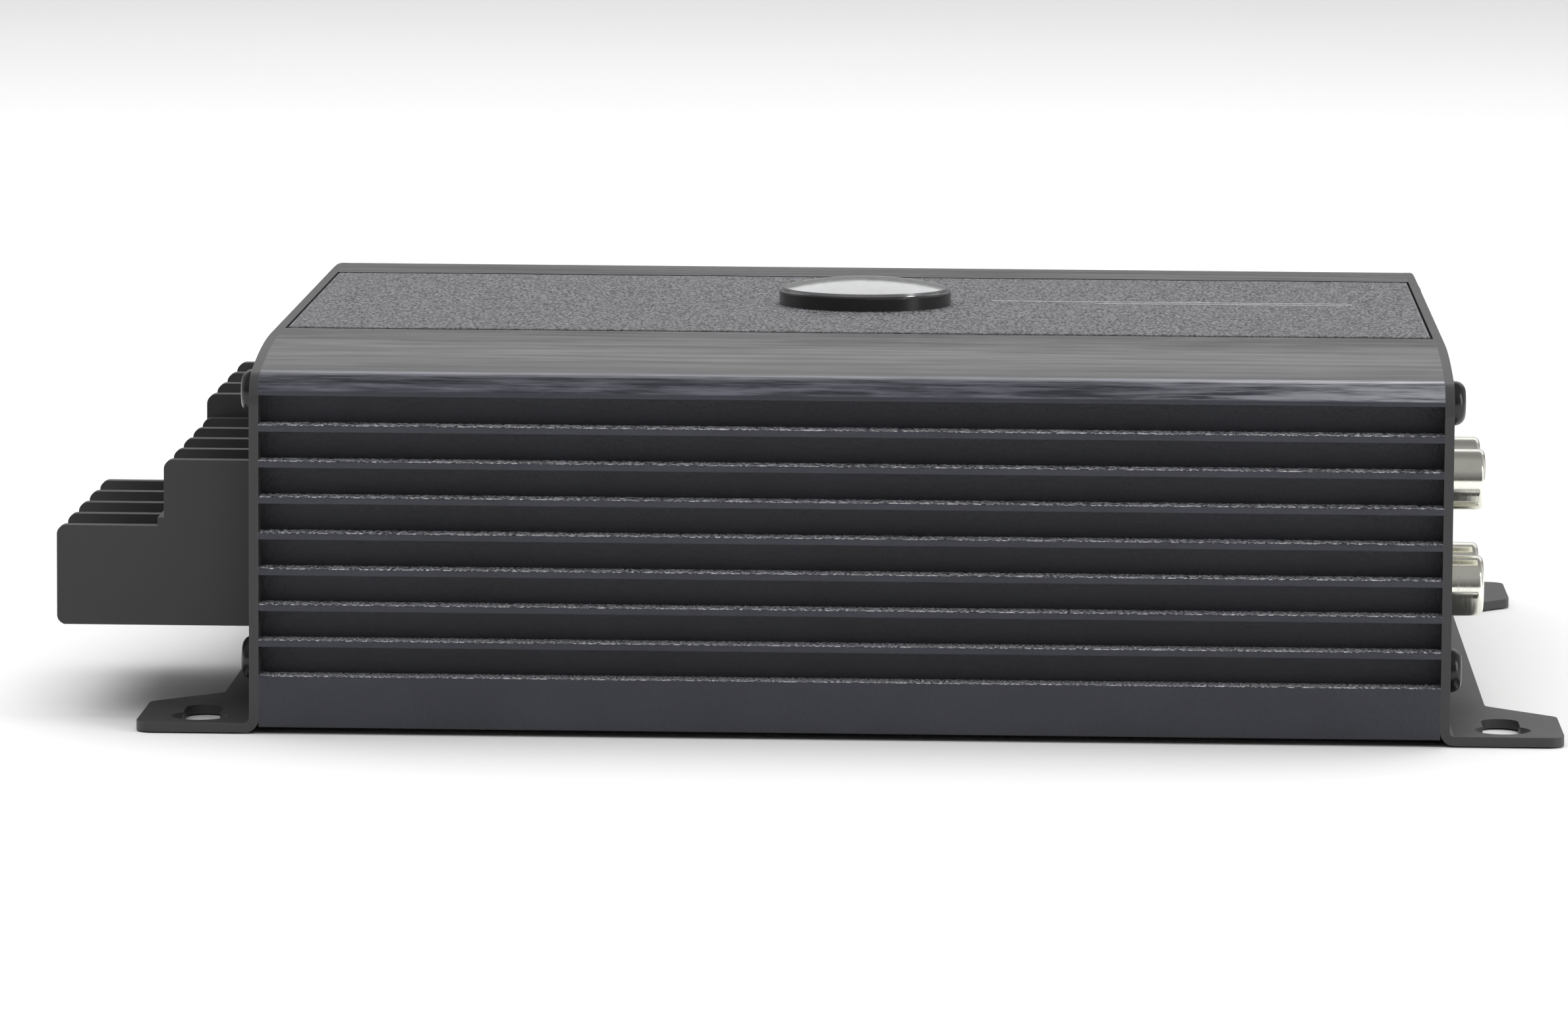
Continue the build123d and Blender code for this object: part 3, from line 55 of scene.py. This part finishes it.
class Tree:
    """A short way to write one material's nodes."""

    def __init__(self, name):
        self.material = bpy.data.materials.new(name)
        self.material.use_nodes = True
        self.tree = self.material.node_tree
        self.surface = self.tree.nodes["Principled BSDF"]
        coordinates = self.add("ShaderNodeTexCoord")
        self.place = coordinates.outputs["Object"]

    def add(self, kind, values=None, **settings):
        node = self.tree.nodes.new(kind)
        for key, value in settings.items():
            setattr(node, key, value)
        for key, value in (values or {}).items():
            self.put(node, key, value)
        return node

    def put(self, node, key, value):
        if isinstance(value, bpy.types.NodeSocket):
            self.tree.links.new(value, node.inputs[key])
        else:
            node.inputs[key].default_value = value

    def set(self, **values):
        for key, value in values.items():
            self.put(self.surface, key.replace("_", " "), value)

    def stretched(self, scale):
        """The object's coordinates, scaled differently along each axis."""
        return self.add("ShaderNodeMapping", {"Vector": self.place, "Scale": scale}).outputs["Vector"]

    def noise(self, scale, detail=3.0, roughness=0.55, vector=None):
        values = {
            "Vector": vector or self.place,
            "Scale": scale,
            "Detail": detail,
            "Roughness": roughness,
        }
        return self.add("ShaderNodeTexNoise", values).outputs["Fac"]

    def cells(self, scale, feature="F1"):
        values = {"Vector": self.place, "Scale": scale}
        return self.add("ShaderNodeTexVoronoi", values, feature=feature).outputs["Distance"]

    def remap(self, value, low, high, to_low=0.0, to_high=1.0):
        values = {"Value": value, "From Min": low, "From Max": high, "To Min": to_low, "To Max": to_high}
        return self.add("ShaderNodeMapRange", values).outputs["Result"]

    def math(self, operation, first, second=0.0):
        node = self.add("ShaderNodeMath", operation=operation)
        self.put(node, 0, first)
        self.put(node, 1, second)
        return node.outputs[0]

    def mix(self, share, first, second):
        """A colour between first and second."""
        node = self.add("ShaderNodeMix", data_type="RGBA")
        self.put(node, 0, share)
        self.put(node, 6, first)
        self.put(node, 7, second)
        return node.outputs[2]

    def blend(self, share, first, second):
        """A number between first and second."""
        node = self.add("ShaderNodeMix", data_type="FLOAT")
        self.put(node, 0, share)
        self.put(node, 2, first)
        self.put(node, 3, second)
        return node.outputs[0]

    def bump(self, height, distance, strength=1.0, below=None):
        values = {"Height": height, "Distance": distance, "Strength": strength}
        if below is not None:
            values["Normal"] = below
        return self.add("ShaderNodeBump", values).outputs["Normal"]

    def axes(self, vector):
        return self.add("ShaderNodeSeparateXYZ", {"Vector": vector}).outputs

    def open_share(self, distance):
        """1 on open faces, falling towards 0 in corners; distance is in mm."""
        node = self.add("ShaderNodeAmbientOcclusion", {"Distance": distance * MM}, samples=6)
        return node.outputs["AO"]

    def edge_wear(self, radius=0.22):
        """1 in a narrow band along edges, broken up so that the wear is uneven; radius is in mm."""
        rounded = self.add("ShaderNodeBevel", {"Radius": radius * MM}, samples=4).outputs["Normal"]
        flat = self.add("ShaderNodeNewGeometry").outputs["Normal"]
        alike = self.add("ShaderNodeVectorMath", {0: rounded, 1: flat}, operation="DOT_PRODUCT")
        broken = self.remap(self.noise(900.0, 4.0), 0.35, 0.65, 0.45, 1.0)
        return self.math("MULTIPLY", self.remap(alike.outputs["Value"], 0.995, 0.93), broken)


def grey(value, blue=0.0):
    return (value, value * (1 + blue * 0.1), value * (1 + blue), 1.0)


# ---------------------------------------------------------------------------------------------
# Materials
# ---------------------------------------------------------------------------------------------

BRUSHED_FROM_Z = 43.75 * MM  # lower edge of the brushed band, just above the highest fin groove
CREASE_Z = 45.95 * MM  # height at which the shoulder turns down into that band
GROOVE_FLOOR_Y = 72.9 * MM  # upward faces farther out than this belong to fins
PAINTED_REFLECTION_X = (30.0 * MM, 75.0 * MM)  # painted reflection: the band is painted brighter between these, towards the jacks
shoulder_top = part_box("heatsink_housing")[1].z


def housing_material():
    """Textured powder coat on the finned sides, and dark brushed metal on the two shoulders."""
    t = Tree("housing_finish")
    position = t.axes(t.place)
    facing = t.axes(t.add("ShaderNodeNewGeometry").outputs["True Normal"])
    brushed = t.remap(position["Z"], BRUSHED_FROM_Z - 0.1 * MM, BRUSHED_FROM_Z + 0.05 * MM)
    # Powder coat: a leather-like skin with a finer grain over it
    skin = t.cells(1900.0, "SMOOTH_F1")
    grain = t.noise(3600.0, 3.0, 0.6)
    shade = t.remap(t.noise(60.0, 3.0), 0.35, 0.65)
    coat_colour = t.mix(shade, grey(0.029, 0.38), grey(0.037, 0.38))
    # Painted shade: the coat is darkened in the fin grooves and corners, where less light reaches
    coat_colour = t.mix(t.remap(t.open_share(6.0), 0.20, 0.60), grey(0.017, 0.20), coat_colour)
    # Painted highlights: upward faces of the fins are lightened on single grains, where they would catch
    # the light
    upward = t.remap(facing["Z"], 0.60, 0.90)
    painted_sparkle = t.remap(t.noise(2600.0, 2.0, 0.7), 0.48, 0.60)
    outside = t.remap(t.math("ABSOLUTE", position["Y"]), GROOVE_FLOOR_Y - 0.3 * MM, GROOVE_FLOOR_Y)
    painted_glint = t.math("MULTIPLY", t.math("MULTIPLY", upward, outside), painted_sparkle)
    coat_colour = t.mix(painted_glint, coat_colour, grey(0.95, 0.06))
    # Brushing runs lengthways. Painted reflection: the shoulder darkens towards the crease, and the band
    # under it is painted bluer, standing in for the changed reflection there
    lines = t.noise(1.0, 3.0, 0.70, t.stretched((85.0, 1500.0, 1500.0)))
    broad = t.noise(1.0, 3.0, 0.55, t.stretched((40.0, 700.0, 700.0)))
    streaks = t.remap(t.math("ADD", lines, broad), 0.84, 1.16)
    upper_metal = t.mix(streaks, grey(0.015, 0.06), grey(0.180, 0.06))
    # Painted shade: the shoulder's colour fades towards black near the crease, standing in for a dimmer
    # reflection
    painted_shade_to_crease = t.remap(position["Z"], CREASE_Z, shoulder_top, 0.30, 1.0)
    upper_metal = t.mix(painted_shade_to_crease, grey(0.0), upper_metal)
    # Painted reflection: the band under the crease gets its own bluer colour for the changed reflection
    # below the crease
    lower_metal = t.mix(t.remap(lines, 0.38, 0.66), grey(0.075, 0.26), grey(0.240, 0.20))
    painted_reflection_end = t.remap(position["X"], *PAINTED_REFLECTION_X)
    # Painted reflection: the band is lightened along its streaks towards the jacks
    lower_metal = t.mix(t.math("MULTIPLY", painted_reflection_end, streaks), lower_metal, grey(0.60, 0.10))
    above_crease = t.remap(position["Z"], CREASE_Z - 0.06 * MM, CREASE_Z + 0.06 * MM)
    metal_colour = t.mix(above_crease, lower_metal, upper_metal)
    coat_roughness = t.remap(grain, 0.3, 0.7, 0.46, 0.62)
    metal_roughness = t.remap(lines, 0.3, 0.7, 0.30, 0.42)
    coat_bump = t.bump(t.math("ADD", skin, grain), 0.09 * MM, 0.75)
    metal_bump = t.bump(lines, 0.012 * MM, 0.6)
    normal = t.add("ShaderNodeMix", data_type="VECTOR")
    t.put(normal, 0, brushed)
    t.put(normal, 4, coat_bump)
    t.put(normal, 5, metal_bump)
    tangent = t.add("ShaderNodeCombineXYZ", {"X": 1.0})
    t.set(
        Base_Color=t.mix(brushed, coat_colour, metal_colour),
        Metallic=t.blend(brushed, 0.0, 0.80),
        Roughness=t.blend(brushed, coat_roughness, metal_roughness),
        Specular_IOR_Level=t.blend(brushed, 0.5, 0.3),
        Anisotropic=t.blend(brushed, 0.0, 0.75),
        Tangent=tangent.outputs["Vector"],
        Normal=normal.outputs[1],
    )
    return t.material


def blasted_material():
    """Fine bead-blasted and anodised panel."""
    t = Tree("blasted_panel")
    speckle = t.noise(1.0, 2.0, 0.75, t.stretched((2600.0, 1100.0, 2600.0)))
    cloud = t.noise(30.0, 3.0)
    # The speckle is partly the grain's own tone and partly painted glints of single facets
    base = t.mix(t.remap(speckle, 0.36, 0.64), grey(0.010, 0.06), grey(0.250, 0.06))
    base = t.mix(t.remap(cloud, 0.35, 0.65, 0.0, 0.12), base, grey(0.12, 0.06))
    t.set(
        Base_Color=t.mix(t.edge_wear(), base, grey(0.30)),
        Metallic=0.15,
        Specular_IOR_Level=0.28,
        Roughness=t.remap(speckle, 0.3, 0.7, 0.55, 0.68),
        Normal=t.bump(speckle, 0.008 * MM, 0.4),
    )
    return t.material


def paint_material(
    name, low, high, roughness, scale=3400.0, depth=0.012, metallic=0.0, blue=0.06, wear=0.06
):
    """Satin paint or oxide: an orange-peel surface, slightly uneven gloss and lighter worn edges."""
    t = Tree(name)
    peel = t.noise(scale, 3.0, 0.6)
    cloud = t.noise(70.0, 3.0)
    base = t.mix(t.remap(cloud, 0.35, 0.65), grey(low, blue), grey(high, blue))
    t.set(
        Base_Color=t.mix(t.edge_wear(), base, grey(wear, blue)),
        Metallic=metallic,
        Roughness=t.remap(cloud, 0.3, 0.7, roughness - 0.02, roughness + 0.03),
        Normal=t.bump(peel, depth * MM, 0.5),
    )
    return t.material


def plastic_material(name, colour, roughness, variation=0.06, depth=0.02, scale=3600.0, through=0.0):
    """Moulded plastic: spark-eroded grain with faint flow marks."""
    t = Tree(name)
    grain = t.noise(scale, 2.0, 0.6)
    flow = t.noise(1.0, 4.0, 0.5, t.stretched((60.0, 220.0, 90.0)))
    darker = tuple(c * (1 - variation) for c in colour) + (1.0,)
    lighter = tuple(min(1.0, c * (1 + variation)) for c in colour) + (1.0,)
    edge = tuple(min(1.0, c * 1.6 + 0.02) for c in colour) + (1.0,)
    base = t.mix(t.remap(flow, 0.35, 0.65), darker, lighter)
    t.set(
        Base_Color=t.mix(t.edge_wear(0.18), base, edge),
        Roughness=t.remap(flow, 0.3, 0.7, roughness - 0.02, roughness + 0.03),
        Normal=t.bump(grain, depth * MM, 0.5),
        Transmission_Weight=through,
    )
    return t.material


def metal_material(name, colour, roughness, brush=(400.0, 400.0, 400.0), tarnish=0.35):
    """Plated metal with fine handling marks and patches of dull tarnish."""
    t = Tree(name)
    marks = t.noise(1.0, 4.0, 0.6, t.stretched(brush))
    patches = t.noise(170.0, 4.0, 0.6)
    dull = tuple(c * (1 - tarnish) for c in colour) + (1.0,)
    t.set(
        Base_Color=t.mix(t.remap(patches, 0.45, 0.75), tuple(colour) + (1.0,), dull),
        Metallic=1.0,
        Roughness=t.remap(marks, 0.3, 0.7, max(0.03, roughness - 0.05), roughness + 0.09),
        Normal=t.bump(marks, 0.006 * MM, 0.5),
    )
    return t.material


def circuit_material():
    """Green solder mask with raised tracks and small bare pads."""
    t = Tree("circuit_board")
    bricks = t.add("ShaderNodeTexBrick", {"Vector": t.place, "Scale": 210.0, "Mortar Size": 0.06})
    tracks = t.remap(bricks.outputs["Fac"], 0.0, 1.0)
    pads = t.remap(t.cells(330.0), 0.10, 0.16, 1.0, 0.0)
    mask = t.mix(tracks, (0.010, 0.085, 0.035, 1.0), (0.022, 0.150, 0.060, 1.0))
    t.set(
        Base_Color=t.mix(pads, mask, (0.62, 0.60, 0.55, 1.0)),
        Metallic=pads,
        Roughness=t.remap(t.noise(300.0), 0.3, 0.7, 0.28, 0.42),
        Normal=t.bump(tracks, 0.03 * MM, 0.6),
    )
    return t.material


def wire_material():
    """Enamelled copper wire."""
    t = Tree("enamelled_copper")
    tone = t.noise(240.0, 3.0)
    t.set(
        Base_Color=t.mix(t.remap(tone, 0.35, 0.65), (0.42, 0.13, 0.05, 1.0), (0.70, 0.28, 0.12, 1.0)),
        Metallic=0.9,
        Roughness=t.remap(tone, 0.3, 0.7, 0.18, 0.34),
        Coat_Weight=0.7,
        Normal=t.bump(t.noise(900.0), 0.01 * MM, 0.5),
    )
    return t.material


def sleeve_material():
    """Dark shrink sleeve."""
    t = Tree("capacitor_sleeve")
    tone = t.noise(120.0, 3.0)
    t.set(
        Base_Color=t.mix(t.remap(tone, 0.3, 0.7), (0.012, 0.016, 0.050, 1.0), (0.025, 0.034, 0.090, 1.0)),
        Roughness=t.remap(tone, 0.3, 0.7, 0.22, 0.36),
        Normal=t.bump(t.noise(1500.0), 0.02 * MM, 0.4),
    )
    return t.material


finishes = {
    "powder_coat": housing_material(),
    "blasted_aluminium": blasted_material(),
    "badge_black": paint_material("badge_black", 0.013, 0.016, 0.22, 900.0, 0.003, 0.0, 0.05, 0.05),
    "badge_chrome": metal_material("badge_chrome", (0.60, 0.605, 0.61), 0.12, (900.0, 900.0, 900.0), 0.06),
    "plate_paint": paint_material("plate_paint", 0.037, 0.041, 0.44),
    "black_screw": paint_material("black_screw", 0.030, 0.040, 0.24, 1500.0, 0.002, 0.7, 0.03, 0.30),
    "terminal_plastic": plastic_material("terminal_plastic", (0.036, 0.036, 0.038), 0.54),
    "nickel": metal_material("nickel", (0.72, 0.70, 0.66), 0.22),
    "tin_plate": metal_material("tin_plate", (0.66, 0.66, 0.65), 0.34, (200.0, 1600.0, 1600.0)),
    "fuse_plastic": plastic_material("fuse_plastic", (0.05, 0.42, 0.12), 0.24, 0.12, 0.008, 900.0, 0.35),
    "jack_nickel": metal_material("jack_nickel", (0.94, 0.93, 0.84), 0.13, (2600.0, 260.0, 260.0), 0.08),
    "white_plastic": plastic_material("white_plastic", (0.78, 0.78, 0.75), 0.42, 0.05),
    "red_plastic": plastic_material("red_plastic", (0.55, 0.03, 0.03), 0.42, 0.10),
    "socket_plastic": plastic_material("socket_plastic", (0.70, 0.68, 0.61), 0.46, 0.06),
    "circuit_board": circuit_material(),
    "component_black": plastic_material("component_black", (0.022, 0.022, 0.023), 0.58, 0.2, 0.03, 4200.0),
    "knob_plastic": plastic_material("knob_plastic", (0.030, 0.030, 0.031), 0.48),
    "led_lens": plastic_material("led_lens", (0.10, 0.28, 0.75), 0.10, 0.05, 0.002, 600.0, 0.6),
    "silicone_pad": plastic_material("silicone_pad", (0.42, 0.43, 0.45), 0.72, 0.08, 0.04, 2200.0),
    "clamp_steel": metal_material("clamp_steel", (0.60, 0.60, 0.58), 0.36, (60.0, 2400.0, 2400.0)),
    "ferrite": plastic_material("ferrite", (0.085, 0.085, 0.095), 0.66, 0.18, 0.05, 1800.0),
    "copper_wire": wire_material(),
    "capacitor_sleeve": sleeve_material(),
}

for entry in frame["record"]["subparts"]:
    piece = nodes[entry["node"]]
    piece.data.materials.clear()
    piece.data.materials.append(finishes[entry["material_slot"]])


# ---------------------------------------------------------------------------------------------
# Added pieces
# ---------------------------------------------------------------------------------------------


RIM_HEIGHT_SHARE = 0.7  # a raised shape is straight up to here, then slopes in to its top
TOP_SHRINK = 0.94


def mesh_piece(name, outlines, to_world, height, material, body):
    """Thin raised shapes: each outline is a list of 2-D points in mm, raised by height in mm."""
    mesh = bmesh.new()
    for outline in outlines:
        rings = []
        middle_a = sum(a for a, b in outline) / len(outline)
        middle_b = sum(b for a, b in outline) / len(outline)
        for rise, shrink in ((0.0, 1.0), (height * RIM_HEIGHT_SHARE, 1.0), (height, TOP_SHRINK)):
            ring = []
            for a, b in outline:
                shrunk = (middle_a + (a - middle_a) * shrink, middle_b + (b - middle_b) * shrink)
                ring.append(mesh.verts.new(to_world(*shrunk, rise)))
            rings.append(ring)
        count = len(outline)
        for low, high in zip(rings, rings[1:]):
            for i in range(count):
                j = (i + 1) % count
                mesh.faces.new((low[i], low[j], high[j], high[i]))
        mesh.faces.new(rings[-1])
        mesh.faces.new(list(reversed(rings[0])))
    bmesh.ops.recalc_face_normals(mesh, faces=mesh.faces)
    data = bpy.data.meshes.new(name)
    mesh.to_mesh(data)
    mesh.free()
    data.materials.append(material)
    piece = bpy.data.objects.new(name, data)
    bpy.context.scene.collection.objects.link(piece)
    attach(piece, body)
    return piece


def rounded_bar(start, end, middle_b, width, steps=6):
    """The outline of a bar with round ends, from start to end along the first direction."""
    radius = width / 2
    outline = []
    for centre, first in ((end - radius, -90.0), (start + radius, 90.0)):
        for i in range(steps + 1):
            angle = math.radians(first + 180.0 * i / steps)
            outline.append((centre + radius * math.cos(angle), middle_b + radius * math.sin(angle)))
    return outline


panel_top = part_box("top_panel")[1].z
PRINT_START, PRINT_END = 17.0, 66.0
PRINT_INDENT = 14.0
PRINT_MIDDLE_Y = 4.4
PRINT_SPACING = 2.2
PRINT_WIDTH = 0.8
PRINT_HEIGHT = 0.03

panel_lines = [
    rounded_bar(PRINT_START, PRINT_END, PRINT_MIDDLE_Y + PRINT_SPACING / 2, PRINT_WIDTH),
    rounded_bar(PRINT_START + PRINT_INDENT, PRINT_END, PRINT_MIDDLE_Y - PRINT_SPACING / 2, PRINT_WIDTH),
]


def on_panel(a, b, rise):
    return Vector((a * MM, b * MM, panel_top + rise * MM))


silver_print = metal_material("silver_print", (0.74, 0.74, 0.73), 0.38, (2200.0, 2200.0, 2200.0), 0.08)
mesh_piece("panel_lines", panel_lines, on_panel, PRINT_HEIGHT, silver_print, "chassis")

# Plain tick marks round each knob on the signal plate, whose outer face lies one thickness out
PLATE_THICKNESS = 1.2
plate_face_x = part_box("heatsink_housing")[1].x / MM + PLATE_THICKNESS
TICK_COUNT = 11
TICK_START, TICK_SWEEP = 225.0, 270.0
TICK_INNER, TICK_OUTER, TICK_WIDTH = 5.0, 6.0, 0.28


def on_signal_plate(a, b, rise):
    return Vector(((plate_face_x + rise) * MM, a * MM, b * MM))


ticks = []
for knob in ("front_gain_knob", "rear_gain_knob", "front_crossover_knob", "rear_crossover_knob"):
    low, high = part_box(knob)
    centre_y, centre_z = (low.y + high.y) / 2 / MM, (low.z + high.z) / 2 / MM
    for i in range(TICK_COUNT):
        angle = math.radians(TICK_START - TICK_SWEEP * i / (TICK_COUNT - 1))
        along = (math.cos(angle), math.sin(angle))
        across = (-along[1], along[0])
        half = TICK_WIDTH / 2
        corners = ((TICK_INNER, -half), (TICK_OUTER, -half), (TICK_OUTER, half), (TICK_INNER, half))
        outline = []
        for r, w in corners:
            y = centre_y + r * along[0] + w * across[0]
            outline.append((y, centre_z + r * along[1] + w * across[1]))
        ticks.append(outline)
pale_print = plastic_material("pale_print", (0.66, 0.66, 0.65), 0.5, 0.06, 0.01)
mesh_piece("knob_ticks", ticks, on_signal_plate, PRINT_HEIGHT, pale_print, "chassis")


# ---------------------------------------------------------------------------------------------
# Floor, light and camera
# ---------------------------------------------------------------------------------------------


FLOOR_FRONT, FLOOR_BACK, FLOOR_HALF_WIDTH = -3.0, 3.6, 5.0
BEND_RADIUS, BEND_STEPS, BACKDROP_TOP = 1.2, 12, 3.5
FLOOR_DROP = 0.0002  # keeps the floor clear of the undersides of the feet


def studio_floor():
    """A pale floor that curves up into a backdrop."""
    mesh = bmesh.new()
    profile = [(FLOOR_FRONT, 0.0), (FLOOR_BACK, 0.0)]
    for i in range(1, BEND_STEPS + 1):
        angle = math.radians(90.0 * i / BEND_STEPS)
        y = FLOOR_BACK + BEND_RADIUS * math.sin(angle)
        profile.append((y, BEND_RADIUS - BEND_RADIUS * math.cos(angle)))
    profile.append((FLOOR_BACK + BEND_RADIUS, BACKDROP_TOP))
    rows = [
        [mesh.verts.new((x, y, z - FLOOR_DROP)) for x in (-FLOOR_HALF_WIDTH, FLOOR_HALF_WIDTH)]
        for y, z in profile
    ]
    for (a, b), (c, d) in zip(rows, rows[1:]):
        mesh.faces.new((a, b, d, c)).smooth = True
    data = bpy.data.meshes.new("studio_floor")
    mesh.to_mesh(data)
    mesh.free()
    t = Tree("floor_paint")
    tone = t.noise(3.0, 2.0)
    t.set(Base_Color=t.mix(tone, grey(0.86), grey(0.90)), Roughness=0.75)
    data.materials.append(t.material)
    floor = bpy.data.objects.new("studio_floor", data)
    bpy.context.scene.collection.objects.link(floor)


def soft_light(name, place, target, width, height, power, mirrored=True):
    """An area light; when not mirrored it lights surfaces but shows in no reflection."""
    data = bpy.data.lights.new(name, "AREA")
    data.shape = "RECTANGLE"
    data.size = width
    data.size_y = height
    data.energy = power
    lamp = bpy.data.objects.new(name, data)
    lamp.location = place
    lamp.visible_glossy = mirrored
    lamp.rotation_euler = (Vector(target) - Vector(place)).to_track_quat("-Z", "Y").to_euler()
    bpy.context.scene.collection.objects.link(lamp)


def studio_world():
    """Brightest near the horizon behind the object, and dark near the horizon on the camera's side."""
    world = bpy.data.worlds.new("studio")
    world.use_nodes = True
    tree = world.node_tree
    background = tree.nodes["Background"]
    direction = tree.nodes.new("ShaderNodeTexCoord")
    parts = tree.nodes.new("ShaderNodeSeparateXYZ")
    tree.links.new(direction.outputs["Generated"], parts.inputs["Vector"])

    def ramp(source, low, high, to_low, to_high):
        node = tree.nodes.new("ShaderNodeMapRange")
        for key, value in zip(("From Min", "From Max", "To Min", "To Max"), (low, high, to_low, to_high)):
            node.inputs[key].default_value = value
        tree.links.new(source, node.inputs["Value"])
        return node.outputs["Result"]

    blend = tree.nodes.new("ShaderNodeMix")
    blend.data_type = "FLOAT"
    tree.links.new(ramp(parts.outputs["Y"], -0.15, 0.25, 0.0, 1.0), blend.inputs[0])
    tree.links.new(ramp(parts.outputs["Z"], 0.05, 0.6, 0.08, 0.38), blend.inputs[2])
    tree.links.new(ramp(parts.outputs["Z"], 0.12, 0.85, 0.95, 0.25), blend.inputs[3])
    tree.links.new(blend.outputs[0], background.inputs["Color"])
    background.inputs["Strength"].default_value = 0.9
    bpy.context.scene.world = world


studio_floor()
studio_world()
soft_light("top_softbox", (0.0, 0.35, 1.3), (0.0, 0.0, 0.0), 2.2, 1.6, 23.0, mirrored=False)
soft_light("back_softbox", (0.0, 2.2, 1.2), (0.0, 0.0, 0.0), 3.2, 1.2, 9.0)
soft_light("front_fill", (-0.2, -1.4, 1.5), (0.0, 0.0, 0.02), 2.4, 1.4, 15.0, mirrored=False)
soft_light("right_strip", (1.3, -0.5, 0.5), (0.0, 0.0, 0.02), 0.3, 1.0, 6.0)

CAMERA_PLACE = Vector((25.9, -1118.4, 156.2)) * MM
YAW, PITCH, ROLL = (math.radians(angle) for angle in (1.88, 6.94, 0.37))
SENSOR_WIDTH = 36.0
FOCAL_LENGTH = 190.59

forward = Vector((-math.sin(YAW) * math.cos(PITCH), math.cos(YAW) * math.cos(PITCH), -math.sin(PITCH)))
level_right = Vector((math.cos(YAW), math.sin(YAW), 0.0))
level_up = level_right.cross(forward)
camera_right = math.cos(ROLL) * level_right + math.sin(ROLL) * level_up
camera_up = -math.sin(ROLL) * level_right + math.cos(ROLL) * level_up

camera_data = bpy.data.cameras.new("camera")
camera_data.sensor_width = SENSOR_WIDTH
camera_data.lens = FOCAL_LENGTH
camera_data.clip_start = 0.01
camera_data.clip_end = 50.0
camera = bpy.data.objects.new("camera", camera_data)
camera.matrix_world = Matrix.Translation(CAMERA_PLACE) @ Matrix(
    (camera_right, camera_up, -forward)
).transposed().to_4x4()
bpy.context.scene.collection.objects.link(camera)
bpy.context.scene.camera = camera

bpy.context.scene.view_settings.view_transform = "Standard"
bpy.context.scene.view_settings.look = "None"
